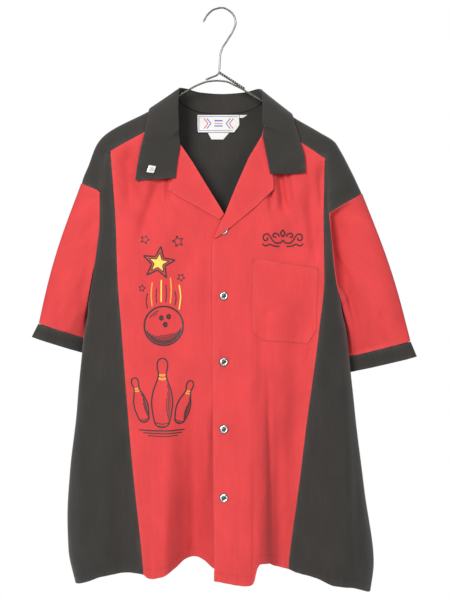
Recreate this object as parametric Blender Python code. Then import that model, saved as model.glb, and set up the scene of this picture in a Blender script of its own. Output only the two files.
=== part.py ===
"""A short-sleeved bowling shirt that hangs, snapped shut, on a thin wire hanger.

Tables and functions work in millimetres; the meshes are made in metres. +X is to the viewer's right, the
front of the shirt faces -Y, +Z is up. The origin is the underside of the top of the hanger's hook, where the
hanger is held. "left" and "right" are the viewer's left and right.
"""

import math

import bmesh
import bpy
import numpy as np

MM = 0.001

# Driving dimensions
CLOTH = 1.5  # thickness of the cloth walls
GAP = 0.3  # space between pieces that are sewn to each other
HEM_HEIGHT = -945.0  # mean height of the hem below the hook
V_POINT = -350.0  # where the two lapel folds cross
EDGE_TOP = -398.0  # where the front edge turns straight down
HEM_REACH = 210.0  # how far above the hem its own rise and fall is felt
FOLDS_TOP = {"left": -650.0, "right": -560.0}  # where the vertical folds of each front begin
LEAF_LIFT = 5.4  # the collar's leaves stand this far off the panels
LAPEL_LIFT = 2.4  # the lapels lie between the two
SNAP_BUMP = 3.4  # extra lift where the right lapel lies on the uppermost snap
SNAP_BUMP_REACH = 14.0
UNDERLAP = (-45.0, 30.0)  # the left front slips behind the right one from this x, over this width
UNDERLAP_DEPTH = CLOTH + 1.0
POCKET_LIFT = 2.2
SIDE_TIP = 4.0  # the side panel's narrow upper end lies this far below the red panel's corner
CUFF_DEPTH = 25.0  # width of a cuff band
WIRE = 3.2  # diameter of the hanger's wire
SNAP_RADIUS = 6.6
SNAP_HOLE = 2.7
SNAP_RISE = 2.4
SNAP_COUNT = 5
SNAP_TOP = -374.0  # height of the uppermost snap
SNAP_STEP = 108.7  # from one snap to the next
SNAP_X = 3.0
SNAP_LIFT = 0.5  # between a snap's back and the nearest point of the cloth

# Outline of the shirt seen from the front, down each side: along the shoulder, past the end of the
# shoulder, then down the side fold. Heights near the hem are those before its own rise and fall is added.
SIDE = {  # z, x
    "left": (
        (-100, 0), (-143.5, -78), (-171, -121), (-207, -190), (-218, -203), (-231, -212), (-262, -224),
        (-293, -236), (-307, -238), (-355, -233), (-409, -228), (-456, -227), (-506, -226), (-550, -233),
        (-580, -236), (-641, -242), (-680, -245), (-777, -256), (-842, -260), (-892, -258), (-945, -246),
    ),
    "right": (
        (-100, 0), (-148, 74), (-180, 117), (-208, 165), (-224, 190), (-233, 196), (-270, 216),
        (-310, 235), (-326, 234), (-371, 219), (-414, 209), (-456, 204), (-498, 201), (-540, 209),
        (-612, 217), (-658, 222), (-697, 226), (-804, 240), (-900, 255), (-945, 249),
    ),
}
SHOULDER_POINTS = {"left": 9, "right": 8}  # how many of these rows lie on the top of the shoulder

# Depth of the body at each height: where its side fold lies, how far the front and the back stand away
# from that, and how far in from the outline they have rounded out.
BODY_COLUMNS = ("z", "side", "front", "back", "edge")
BODY = (
    (-100, 2, 24, 30, 45),
    (-181, 2, 22, 28, 45),
    (-220, 2, 19, 21, 40),
    (-307, 4, 20, 20, 42),
    (-498, 6, 32, 24, 60),
    (-660, 6, 44, 34, 90),
    (-826, 4, 56, 44, 115),
    (-963, 0, 62, 50, 125),
)

# Folds at the hem: how far out each front stands there beyond the plain section.
WAVE = {  # x, out
    "left": (
        (-246, 0), (-191, 0), (-153, -8), (-128, -4), (-110, 4), (-96, 2), (-76, -16), (-60, -31),
        (-46, -36), (-30, -33), (-13, -26), (26, -16),
    ),
    "right": (
        (-12, 18), (5, 20), (43, 22), (51, 17), (56, -2), (61, -26), (76, -36), (87, -29), (111, -17),
        (124, -10), (158, 0), (181, 6), (212, 2), (249, 0),
    ),
    "back": (
        (-246, 0), (-190, -4), (-140, -16), (-85, 6), (-30, 12), (30, -10), (85, -14), (140, 8),
        (195, 0), (249, 0),
    ),
}

# Height of the hem itself along each panel.
HEM = {  # x, z
    "left": (
        (-246, -963), (-227, -955), (-191, -939), (-153, -933), (-128, -935), (-119, -940), (-100, -938),
        (-76, -927), (-60, -917), (-46, -914.5), (-30, -919), (-13, -931), (26, -935),
    ),
    "right": (
        (-12, -939), (43, -946), (51, -943), (56, -932), (61, -924), (76, -922), (87, -928), (111, -935),
        (124, -941), (158, -948), (181, -957), (212, -961), (249, -977),
    ),
    "back": (
        (-246, -963), (-190, -938), (-100, -925), (0, -923), (100, -928), (180, -950), (249, -977),
    ),
}

# Seams of the fronts, down the shirt: between the red panel and the black side panel, and the free inner
# edge of each red panel, which is the fold of the lapel and then the front edge.
PANEL_SEAM = {  # z, x
    "left": (
        (-241, -186), (-275, -183), (-315, -180), (-357, -177), (-456, -173), (-539, -166), (-735, -149),
        (-935, -128),
    ),
    "right": (
        (-254, 172), (-270, 170.5), (-307, 170), (-357, 169), (-456, 170), (-539, 161), (-661, 145),
        (-795, 128), (-931, 111),
    ),
}
FRONT_EDGE = {  # z, x
    "left": ((-184, -77.5), (-206, -75), (-230, -70), (-350, 5), (-375, 18), (-398, 22), (-945, 26)),
    "right": ((-197, 70), (-214, 67), (-350, 5), (-390, -15), (-398, -17), (-595, -16), (-945, -12)),
}
# Armhole seam, below the point where the yoke ends.
ARMHOLE = {  # z, x
    "left": ((-308, -202), (-356, -203), (-409, -209), (-456, -217), (-500, -226)),
    "right": ((-344, 178), (-399, 183), (-456, 190), (-498, 201)),
}

# The yoke from each armhole to the neck: its front seam, the x of the shoulder line, and its back seam.
YOKE = {  # front_x, front_z, ridge_x, back_x, back_z
    "left": (
        (-202, -308, -236, -202, -308),
        (-201, -281, -226, -191, -303),
        (-197, -257, -214, -180, -296),
        (-186, -241, -203, -166, -289),
        (-129, -210, -128, -125, -277),
        (-77, -182, -79, -79, -270),
    ),
    "right": (
        (178, -344, 235, 178, -344),
        (177, -306, 224, 177, -325),
        (175, -273, 207, 174, -304),
        (172, -254, 190, 168, -290),
        (131, -227, 128, 125, -277),
        (72, -195, 75, 75, -270),
    ),
}
YOKE_COLUMNS_BETWEEN = (2, 2, 2, 4, 4)  # grid columns between those rows
YOKE_ROWS = (6, 8)  # grid rows in front of the shoulder line and behind it
# Back neck seam, and the yoke's back seam below it.
NECK = (  # x, neck_z, back_z
    (-79, -144, -270), (-66, -157, -269), (-40, -168, -268), (0, -172, -268), (40, -168, -268),
    (62, -159, -269), (75, -149, -270),
)
BACK_STRETCH = 60.0  # width of the back that gives way where its armhole edge meets the yoke
NECK_COUNT = 13  # grid lines of the yoke between the neck's two corners

# The collar, from the end of one leaf round the neck to the other: neck seam, roll line and outer edge.
# A depth of None is taken from the panel that the point lies on, plus the lift.
COLLAR = (  # seam_x, seam_z, seam_lift, roll_x, roll_z, roll_y, edge_x, edge_z, face
    (-77.0, -287, LEAF_LIFT, -110, -289, None, -144, -291, "front"),
    (-73.5, -258, LEAF_LIFT, -106, -258, None, -139, -257, "front"),
    (-69.5, -231, LEAF_LIFT, -101, -229, None, -132, -226, "front"),
    (-72.5, -207, 0.5, -71, -206, -26, -127, -205, "front"),
    (-75.0, -180, 0.5, -72.5, -168, -22, -124, -186, "front"),
    (-76.5, -143.5, 0.0, -70.5, -133, -2, -121, -167, "ridge"),
    (-65.5, -157, 0.0, -60, -131, 15, -102, -181, "back"),
    (-40.0, -168, 0.0, -38, -135, 25, -60, -191, "back"),
    (0.0, -172, 0.0, 0, -137, 29, 0, -193, "back"),
    (40.0, -168, 0.0, 38, -135, 25, 60, -191, "back"),
    (61.5, -159, 0.0, 58, -132, 15, 100, -185, "back"),
    (73.0, -148.5, 0.0, 66, -136, -2, 117, -176, "ridge"),
    (71.0, -178, 0.5, 67, -168, -22, 121, -196, "front"),
    (69.5, -196, 0.5, 66, -195, -26, 126, -211, "front"),
    (68.0, -216, LEAF_LIFT, 99, -219, None, 130, -227, "front"),
    (73.5, -247, LEAF_LIFT, 105, -248, None, 137, -252, "front"),
    (80.0, -280, LEAF_LIFT, 110, -280, None, 139, -278, "front"),
)
COLLAR_COLUMNS_BETWEEN = 2
COLLAR_ROWS = 8

# Each lapel: its fold from the collar to the front edge, and its outer edge from the notch to that point.
LAPEL = {  # fold_x, fold_z, outer_x, outer_z
    "left": (
        (-69, -231, -82, -288), (-58, -247, -88, -295), (-48, -262, -89, -307), (-31, -290, -66, -321),
        (-14, -318, -36, -337), (3.5, -347, -4, -355),
    ),
    "right": (
        (67, -215, 84, -281), (56, -234, 86, -292), (45, -252, 86, -306), (24, -300, 55, -335),
        (4, -350, 22, -362), (-13, -387, -9, -386),
    ),
}

# Pocket outline on the right front: four sides, with the two lower corners cut off.
POCKET = (  # z_left, x_left, z_right, x_right
    (-419, 50, -435, 160), (-470, 50, -480, 158), (-541, 50, -541, 156), (-556, 66, -562, 142),
)

# Sleeves: the flattened opening at the hem. outer is the corner that shows, width runs from it across the
# sleeve, seen is the share of that width that shows past the body, turn is how much further back the hidden
# end lies.
SLEEVE = {  # outer_x, outer_z, slope, width, seen, half_depth, outer_y, turn
    "left": (-320, -552, 18.5, 146, 0.60, 16, 6, 44),
    "right": (327, -583, 14.5, 160, 0.64, 16, 6, 44),
}
SLEEVE_TOP_BOW = 7.0  # how far the outer fold bows out between shoulder and cuff
SLEEVE_UNDER_BOW = 4.0  # how far the stretch below the underarm bows out from the body
SLEEVE_BACK_BOW = 17.0  # how far the hidden half bows back
CUFF_FLARE = 3.0
SLEEVE_HALF = 14  # grid lines along each half of a sleeve

# Wire hanger, bent from wire in the plane y = 0.
ARMS = (  # x, z
    (-197, -222), (-180, -211), (-120, -179), (-95, -161.5), (-78, -149.5), (-57, -137), (-40, -128),
    (-24, -122.5), (-8, -121), (7, -122.5), (20, -128), (33, -134.5), (47, -143), (68, -155), (100, -176),
    (150, -206), (184, -227),
)
HOOK = (  # x, z
    (-31.5, -22), (-23.5, -9.5), (-12, -0.8), (0, 1.6), (12, -3.2), (21, -14), (23, -24), (20, -34),
    (8.5, -54), (0, -68), (-3, -79), (-4, -96), (-5, -108), (-12, -113.5), (-26, -117.5),
)
TWIST_TURNS = 4
TWIST_RADIUS = 2.4
TWIST_ENDS = ((-0.5, -108.5), (29.5, -126.0))

# Label in the back of the neck, with its two tabs.
# Rows of a flat piece: z, x_left, x_right.
LABEL = ((-173, -42, 29), (-191, -42, 29.5), (-203.5, -41, 20.5))
LABEL_SIZE = ((-173, 30, 43), (-178, 30, 36))
LABEL_CARE = ((-204.3, -24, 12), (-216, -18, 2))
LABEL_THICK = 0.6
LABEL_LIFT = 2.6  # from the face of the back inwards, through its wall
PIN = ((-265.0, -121.5, -107.5), (-279.5, -126.5, -112.5))
PIN_THICK = 1.6

MATERIALS = {
    "red": ((0.80, 0.07, 0.075, 1.0), 0.75, 0.0),
    "black": ((0.045, 0.043, 0.04, 1.0), 0.8, 0.0),
    "white": ((0.8, 0.8, 0.78, 1.0), 0.7, 0.0),
    "metal": ((0.75, 0.75, 0.76, 1.0), 0.3, 1.0),
}


def curve(rows, over=0, value=1):
    """A smooth function through two columns of a table; it never swings past the values it goes through."""
    table = np.array(sorted((row[over], row[value]) for row in rows), float)
    at, height = table[:, 0], table[:, 1]
    step = np.diff(at)
    slope = np.diff(height) / step
    tangent = np.concatenate([slope[:1], np.zeros(len(at) - 2), slope[-1:]])
    for k in range(1, len(at) - 1):
        if slope[k - 1] * slope[k] > 0:
            before = 2 * step[k] + step[k - 1]
            after = step[k] + 2 * step[k - 1]
            tangent[k] = (before + after) / (before / slope[k - 1] + after / slope[k])

    def read(x):
        x = np.clip(x, at[0], at[-1])
        k = np.clip(np.searchsorted(at, x) - 1, 0, len(step) - 1)
        t = (x - at[k]) / step[k]
        return (
            (1 + 2 * t) * (1 - t) ** 2 * height[k]
            + t * (1 - t) ** 2 * step[k] * tangent[k]
            + t * t * (3 - 2 * t) * height[k + 1]
            + t * t * (t - 1) * step[k] * tangent[k + 1]
        )

    return read


def ease(t):
    t = np.clip(t, 0.0, 1.0)
    return t * t * (3 - 2 * t)


def rounded(t):
    """A quarter of a circle: 0 at the outline, level by t = 1."""
    return np.sqrt(1 - (1 - np.clip(t, 0.0, 1.0)) ** 2)


side_line = {side: curve(SIDE[side]) for side in SIDE}
ridge_line = {side: curve(SIDE[side][: SHOULDER_POINTS[side]], over=1, value=0) for side in SIDE}
body = {name: curve(BODY, value=BODY_COLUMNS.index(name)) for name in BODY_COLUMNS[1:]}
wave = {face: curve(WAVE[face]) for face in WAVE}
hem = {face: curve(HEM[face]) for face in HEM}
panel_seam = {side: curve(PANEL_SEAM[side]) for side in PANEL_SEAM}
armhole = {side: curve(ARMHOLE[side]) for side in ARMHOLE}
SIGN = {"left": -1.0, "right": 1.0}


def from_outline(x, z, side):
    """Distance from the shirt's outline on one side, as for a straight edge through the nearest points."""
    across = np.maximum(SIGN[side] * (side_line[side](z) - x), 0.0)
    down = np.maximum(ridge_line[side](x) - z, 0.0)
    return across * down / np.maximum(np.hypot(across, down), 1e-9)


def fullness(x, z):
    return rounded(from_outline(x, z, "left") / body["edge"](z)) * rounded(
        from_outline(x, z, "right") / body["edge"](z)
    )


def folds(x, z, face):
    top = FOLDS_TOP.get(face, -600.0)
    return wave[face](x) * ease((top - z) / (top - HEM_HEIGHT))


def face_y(x, z, face):
    """Depth of the outer face of the cloth: of the left front, the right front or the back."""
    if face == "back":
        return body["side"](z) + fullness(x, z) * body["back"](z) + folds(x, z, face)
    y = body["side"](z) - fullness(x, z) * body["front"](z) - folds(x, z, face)
    if face == "left":
        right = face_y(x, z, "right")
        under = ease((x - UNDERLAP[0]) / UNDERLAP[1])
        y = y + np.maximum(right + UNDERLAP_DEPTH - y, 0.0) * under
    return y


def sunk(x, z, face):
    """Height of a point of the panel once the hem's own rise and fall is added."""
    return z + (hem[face](x) - HEM_HEIGHT) * ease(1 - (z - HEM_HEIGHT) / HEM_REACH)


def spread(points, count, trim=(0.0, 0.0)):
    """The points of a dense line at equal distances along it, and the line's direction at each of them."""
    length = np.concatenate([[0], np.cumsum(np.linalg.norm(np.diff(points, axis=0), axis=1))])
    at = np.linspace(trim[0], length[-1] - trim[1], count + 1)
    place = np.stack([np.interp(at, length, points[:, k]) for k in range(3)], axis=1)
    near = max(0.4, 0.002 * length[-1])
    ahead = np.stack([np.interp(at + near, length, points[:, k]) for k in range(3)], axis=1)
    behind = np.stack([np.interp(at - near, length, points[:, k]) for k in range(3)], axis=1)
    return place, ahead - behind


def across_row(face, z, x_from, x_to, count, trim):
    """One row of a panel, from one edge to the other at a nominal height."""
    part = (1 - np.cos(np.linspace(0, math.pi, 300))) / 2
    x = x_from + (x_to - x_from) * part
    level = np.stack([x, face_y(x, z, face), np.zeros_like(x)], axis=1)
    place, direction = spread(level, count, trim)
    place[:, 2] = sunk(place[:, 0], z, face)
    return place, direction


def panel(face, heights, x_from, x_to, count, trim=(GAP / 2, GAP / 2)):
    """A grid of rows down the shirt, with the direction of each row for the cloth's normals."""
    rows = [across_row(face, z, x_from(z), x_to(z), count, trim) for z in heights]
    return np.array([row[0] for row in rows]), np.array([row[1] for row in rows])


def steps(*stops):
    """Heights from stop to stop: (z, intervals, z, intervals, ... z)."""
    heights = [stops[0]]
    for k in range(1, len(stops), 2):
        heights += list(np.linspace(stops[k - 1], stops[k + 1], stops[k] + 1)[1:])
    return heights


def normals(grid, along=None, outward=1.0):
    """Unit normals of a grid of points; outward is -1 where rows and columns run the other way round."""
    along = np.gradient(grid, axis=1) if along is None else along
    cross = np.cross(np.gradient(grid, axis=0), along) * outward
    return cross / np.maximum(np.linalg.norm(cross, axis=2, keepdims=True), 1e-12)


def thin_wall(patches, thickness=CLOTH, closed=False):
    """One closed solid from grids of (points, normals): the points, and the same moved inwards."""
    points, directions, quads, count = [], [], [], 0
    for grid, normal in patches:
        rows, columns = grid.shape[:2]
        last = columns if closed else columns - 1
        for r in range(rows - 1):
            for c in range(last):
                d = (c + 1) % columns
                low, high = count + r * columns, count + (r + 1) * columns
                quads.append((low + c, low + d, high + d, high + c))
        points.append(grid.reshape(-1, 3))
        directions.append(normal.reshape(-1, 3))
        count += rows * columns
    points, directions = np.concatenate(points), np.concatenate(directions)
    _, first, index = np.unique(np.round(points, 3), axis=0, return_index=True, return_inverse=True)
    index = index.reshape(-1)
    total = np.zeros((len(first), 3))
    np.add.at(total, index, directions)
    total /= np.maximum(np.linalg.norm(total, axis=1, keepdims=True), 1e-9)
    outer = points[first]
    size = len(outer)
    faces = [tuple(index[k] for k in quad) for quad in quads]
    middle = faces[len(faces) // 2]
    facing = np.cross(outer[middle[2]] - outer[middle[0]], outer[middle[3]] - outer[middle[1]])
    if facing @ total[middle[0]] < 0:
        faces = [face[::-1] for face in faces]
    edges = {(face[k], face[(k + 1) % 4]) for face in faces for k in range(4)}
    rim = [(b, a, a + size, b + size) for a, b in edges if (b, a) not in edges]
    inner = [tuple(k + size for k in face[::-1]) for face in faces]
    return np.concatenate([outer, outer - total * thickness]), faces + inner + rim


def add(name, shape, material):
    """A mesh object from points in millimetres and faces."""
    points, faces = shape
    mesh = bpy.data.meshes.new(name)
    mesh.from_pydata((np.asarray(points) * MM).tolist(), [], [[int(k) for k in face] for face in faces])
    tidy = bmesh.new()
    tidy.from_mesh(mesh)
    bmesh.ops.triangulate(tidy, faces=tidy.faces[:])
    tidy.to_mesh(mesh)
    tidy.free()
    mesh.shade_smooth()
    mesh.set_sharp_from_angle(angle=math.radians(50))
    mesh.materials.append(materials[material])
    bpy.context.scene.collection.objects.link(bpy.data.objects.new(name, mesh))


def make_materials():
    """One Principled material for each colour of cloth and for the metal."""
    made = {}
    for name, (color, roughness, metallic) in MATERIALS.items():
        material = bpy.data.materials.new(name)
        material.use_nodes = True
        shader = material.node_tree.nodes["Principled BSDF"]
        shader.inputs["Base Color"].default_value = color
        shader.inputs["Roughness"].default_value = roughness
        shader.inputs["Metallic"].default_value = metallic
        made[name] = material
    return made


def free_edge(side):
    """Inner edge of a red panel at each height."""
    rows = np.array(sorted(FRONT_EDGE[side]))
    return lambda z: float(np.interp(z, rows[:, 0], rows[:, 1]))


def red_edge(side):
    """Outer edge of a red panel: the yoke seam down to its corner, then the panel seam."""
    corner_z = PANEL_SEAM[side][0][0]
    seam = np.array(sorted((row[1], row[0]) for row in YOKE[side][3:]))

    def x(z):
        if z <= corner_z:
            return float(panel_seam[side](z))
        return float(np.interp(z, seam[:, 0], seam[:, 1])) - SIGN[side] * GAP

    return x


def body_rows(side):
    """Heights of the rows that the panels of one side share, from below the yoke to the hem."""
    corner, yoke_end, under = PANEL_SEAM[side][0][0], ARMHOLE[side][0][0], ARMHOLE[side][-1][0]
    beside_yoke = 1 if side == "right" else 2
    return steps(corner, 3, yoke_end, beside_yoke, V_POINT, 2, EDGE_TOP, 3, under, 12, HEM_HEIGHT)[1:]


def front_panel(side):
    corner_z = PANEL_SEAM[side][0][0]
    top = YOKE[side][-1][1] - 5.0
    apex = LAPEL[side][0][1]
    heights = steps(top, 3, apex, 2, corner_z) + [corner_z - SIDE_TIP] + body_rows(side)
    outer, inner = red_edge(side), free_edge(side)
    ends = (outer, inner) if side == "left" else (inner, outer)
    trim = (GAP / 2, 0.0) if side == "left" else (0.0, GAP / 2)
    grid, along = panel(side, heights, *ends, 10, trim)
    add(f"front_{side}", thin_wall([(grid, normals(grid, along))]), "red")


def outer_seam(side):
    """Outer edge of a side panel: yoke seam, armhole seam, side fold."""
    yoke = np.array(sorted((row[1], row[0]) for row in YOKE[side][:4]))
    under = ARMHOLE[side][-1][0]

    def x(z):
        if z >= yoke[0, 0]:
            return float(np.interp(z, yoke[:, 0], yoke[:, 1])) - SIGN[side] * GAP
        if z >= under:
            return float(armhole[side](z)) - SIGN[side] * GAP
        return float(side_line[side](z))

    return x


def side_panel(side):
    """The black panel between the red front and the side: it narrows to a point below the yoke."""
    corner_z = PANEL_SEAM[side][0][0]
    outer, inner = outer_seam(side), panel_seam[side]
    ends = (outer, inner) if side == "left" else (inner, outer)
    grid, along = panel(side, [corner_z - SIDE_TIP] + body_rows(side), *ends, 7)
    add(f"side_{side}", thin_wall([(grid, normals(grid, along))]), "black")


def back_panel():
    """The back below the yoke, from armhole to armhole and then from side fold to side fold."""
    seam = [(row[3], row[4]) for side in YOKE for row in YOKE[side]]
    seam = np.array(sorted(seam + [(row[0], row[2]) for row in NECK[1:-1]]))

    def end(side, z):
        under = ARMHOLE[side][-1][0]
        return float(side_line[side](z) if z < under else armhole[side](z) - SIGN[side] * GAP)

    low = min(ARMHOLE[side][0][0] for side in ARMHOLE)
    under = ARMHOLE["left"][-1][0]
    heights = steps(low, 4, under, 12, HEM_HEIGHT)
    grid, along = panel("back", heights, lambda z: end("left", z), lambda z: end("right", z), 24)
    left = float(armhole["left"](low)) + GAP
    upper = []
    for part in np.linspace(0, 1, 4)[:-1]:
        row = grid[0].copy()
        near_armhole = 1 - ease((row[:, 0] - left) / BACK_STRETCH)
        row[:, 0] += (1 - part) * (YOKE["left"][0][0] - left) * near_armhole
        start = np.interp(row[:, 0], seam[:, 0], seam[:, 1]) - 2.5 * GAP
        row[:, 2] = start + (low - start) * part
        row[:, 1] = face_y(row[:, 0], row[:, 2], "back")
        upper.append(row)
    grid = np.concatenate([np.array(upper), grid])
    along = np.concatenate([np.gradient(np.array(upper), axis=1), along])
    add("back", thin_wall([(grid, normals(grid, along, -1.0))]), "black")


def over_shoulder(side, row, counts):
    """A line of the yoke: up the front from its seam, over the shoulder and down the back."""
    front_x, front_z, ridge_x, back_x, back_z = row
    ridge_z = float(ridge_line[side](ridge_x))
    part = np.sin(np.linspace(0, math.pi / 2, 200))
    lines = []
    for face, (x0, z0) in ((side, (front_x, front_z)), ("back", (back_x, back_z))):
        x = x0 + (ridge_x - x0) * part
        z = z0 + (ridge_z - z0) * part
        y = face_y(x, z, face)
        y[-1] = body["side"](ridge_z)
        lines.append(np.stack([x, y, z], axis=1))
    front, _ = spread(lines[0], counts[0])
    back, _ = spread(lines[1][::-1], counts[1])
    return np.concatenate([front, back[1:]])


def yoke():
    """The yoke with its dropped shoulders: one patch over each shoulder, and one below the neck."""
    counts = YOKE_ROWS
    patches = []
    neck_side = {}
    for side in YOKE:
        table = np.array(YOKE[side], float)
        at = np.concatenate([[0], np.cumsum(YOKE_COLUMNS_BETWEEN)])
        stations = np.arange(at[-1] + 1)
        rows = np.stack([np.interp(stations, at, table[:, k]) for k in range(table.shape[1])], axis=1)
        grid = np.array([over_shoulder(side, row, counts) for row in rows]).transpose(1, 0, 2)
        line = grid[counts[0]:, -1]
        grid = grid if side == "left" else grid[:, ::-1]
        patches.append((grid, normals(grid, None, -1.0)))
        neck_side[side] = line
    table = np.array(NECK, float)
    x = np.linspace(table[0, 0], table[-1, 0], NECK_COUNT)
    neck_z = curve(NECK)(x)
    back_z = np.interp(x, table[:, 0], table[:, 2])
    columns = [neck_side["left"]]
    for k in range(1, len(x) - 1):
        z = np.linspace(neck_z[k], back_z[k], 60)
        line = np.stack([np.full_like(z, x[k]), face_y(x[k], z, "back"), z], axis=1)
        columns.append(spread(line, counts[1])[0])
    columns.append(neck_side["right"])
    grid = np.array(columns).transpose(1, 0, 2)
    patches.append((grid, normals(grid, None, -1.0)))
    add("yoke", thin_wall(patches), "black")


def on_panel(x, z, face, lift):
    """A point that lies on a panel's outer face, moved out by lift."""
    y = face_y(x, z, face)
    return np.array([x, y + lift if face == "back" else y - lift, z])


def off_body(points):
    """Points of the collar's fall, pushed out where they would come nearer to the shoulders than its lift."""
    out = points.copy()
    for point in out:
        x, y, z = point
        side = "left" if x < 0 else "right"
        ridge = float(ridge_line[side](x))
        middle = float(body["side"](z))
        low = min(z, ridge - 0.01)
        if z > ridge + LEAF_LIFT:
            continue
        if y < middle:
            point[1] = min(y, float(face_y(x, low, side)) - LEAF_LIFT)
        elif y > middle:
            point[1] = max(y, float(face_y(x, low, "back")) + LEAF_LIFT)
    return out


def collar_line(row):
    """Seam, roll and outer edge of the collar at one place round the neck."""
    seam_x, seam_z, seam_lift, roll_x, roll_z, roll_y, edge_x, edge_z, place = row
    front = "left" if seam_x < 0 else "right"
    if place == "front":
        seam = on_panel(seam_x, seam_z, front, seam_lift)
        edge = on_panel(edge_x, edge_z, front, LEAF_LIFT)
    elif place == "ridge":
        seam = np.array([seam_x, float(body["side"](seam_z)), seam_z + 2 * GAP])
        edge = np.array([edge_x, float(body["side"](edge_z)), edge_z])
    else:
        seam = on_panel(seam_x, seam_z + 2 * GAP, "back", -CLOTH)
        edge = on_panel(edge_x, edge_z, "back", LEAF_LIFT)
    roll = np.array([roll_x, roll_y, roll_z], float)
    if roll_y is None:
        roll = on_panel(roll_x, roll_z, front, LEAF_LIFT)
    return np.concatenate([seam, roll, edge])


def collar():
    """The collar's stand and fall in one sheet, from the end of one leaf round the neck to the other."""
    lines = np.array([collar_line(row) for row in COLLAR], float)
    at = np.arange(len(lines)) * COLLAR_COLUMNS_BETWEEN
    stations = np.arange(at[-1] + 1)
    smooth = np.stack([curve(list(zip(at, lines[:, k])))(stations) for k in range(9)], axis=1)
    rows = []
    for line in smooth:
        seam, roll, edge = line.reshape(3, 3)
        part = np.linalg.norm(roll - seam) / (np.linalg.norm(roll - seam) + np.linalg.norm(edge - roll))
        dense = np.linspace(0, 1, 120)
        path = np.stack(
            [curve(((0, seam[k]), (part, roll[k]), (1, edge[k])))(dense) for k in range(3)], axis=1
        )
        line = spread(path, COLLAR_ROWS)[0]
        fall = np.arange(len(line)) > part * COLLAR_ROWS
        rows.append(np.where(fall[:, None], off_body(line), line))
    grid = np.array(rows).transpose(1, 0, 2)
    add("collar", thin_wall([(grid, normals(grid, None, -1.0))]), "black")


def lapel(side):
    """The turned-out facing, a ruled patch from its fold to its outer edge."""
    table = np.array(LAPEL[side], float)
    at = np.linspace(0, 1, len(table))
    stations = np.linspace(0, 1, 2 * len(table) - 1)
    fold_x, fold_z, outer_x, outer_z = (np.interp(stations, at, table[:, k]) for k in range(4))
    rows = []
    for part in np.linspace(0, 1, 6):
        x = fold_x + (outer_x - fold_x) * part
        z = fold_z + (outer_z - fold_z) * part
        away = np.hypot(x - SNAP_X, z - SNAP_TOP) / SNAP_BUMP_REACH
        lift = LAPEL_LIFT + (SNAP_BUMP * np.exp(-away**2) if side == "right" else 0.0)
        rows.append(np.stack([x, face_y(x, z, side) - lift, z], axis=1))
    grid = np.array(rows)
    add(f"lapel_{side}", thin_wall([(grid, normals(grid, None, -SIGN[side]))]), "red")


def pocket():
    """The patch pocket, a ruled patch between its two upright edges."""
    table = np.array(POCKET, float)
    at = np.array([0, 2, 5, 6])
    stations = np.arange(at[-1] + 1)
    z_left, x_left, z_right, x_right = (np.interp(stations, at, table[:, k]) for k in range(4))
    rows = []
    for part in np.linspace(0, 1, 8):
        x = x_left + (x_right - x_left) * part
        z = z_left + (z_right - z_left) * part
        rows.append(np.stack([x, face_y(x, z, "right") - POCKET_LIFT, z], axis=1))
    grid = np.array(rows).transpose(1, 0, 2)
    add("pocket", thin_wall([(grid, normals(grid))]), "red")


def armhole_loop(side, half):
    """The armhole seam as a closed loop: from the top down the front, and up the back again."""
    top_x, top_z = YOKE[side][0][2], float(ridge_line[side](YOKE[side][0][2]))
    end_z = ARMHOLE[side][0][0]
    under_z = ARMHOLE[side][-1][0]
    lines = []
    for face in (side, "back"):
        part = np.sin(np.linspace(0, math.pi / 2, 100))
        x = YOKE[side][0][0] + (top_x - YOKE[side][0][0]) * part
        z = end_z + (top_z - end_z) * part
        cap = np.stack([x, face_y(x, z, face), z], axis=1)[::-1]
        cap[0, 1] = body["side"](top_z)
        z = np.linspace(end_z, under_z, 200)
        x = armhole[side](z)
        seam = np.stack([x, face_y(x, z, face), z], axis=1)
        seam[-1, 1] = body["side"](under_z)
        lines.append(spread(np.concatenate([cap, seam[1:]]), half)[0])
    return np.concatenate([lines[0], lines[1][::-1][1:-1]])


def opening_loop(side, half, up, flare):
    """The sleeve's opening, or a ring of it further up: a flattened loop whose inner part lies back."""
    outer_x, outer_z, slope, width, seen, half_depth, outer_y, turn = SLEEVE[side]
    tilt = math.radians(slope)
    inward = np.array([-SIGN[side] * math.cos(tilt), 0.0, -math.sin(tilt)])
    upward = np.array([-SIGN[side] * math.sin(tilt), 0.0, math.cos(tilt)])
    meets = math.acos(1 - 2 * seen)
    angles = np.concatenate(
        [np.linspace(0, meets, half + 1), np.linspace(meets, 2 * math.pi, half + 1)[1:-1]]
    )
    across = (1 - np.cos(angles)) / 2
    depth = -half_depth * np.sign(np.sin(angles)) * np.abs(np.sin(angles)) ** 0.8
    back = outer_y + turn * ease(across) + depth
    start = np.array([outer_x, 0.0, outer_z])
    loop = start + np.outer(across * (width - 2 * flare) + flare, inward) + upward * up
    loop[:, 1] += back
    return loop


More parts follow.
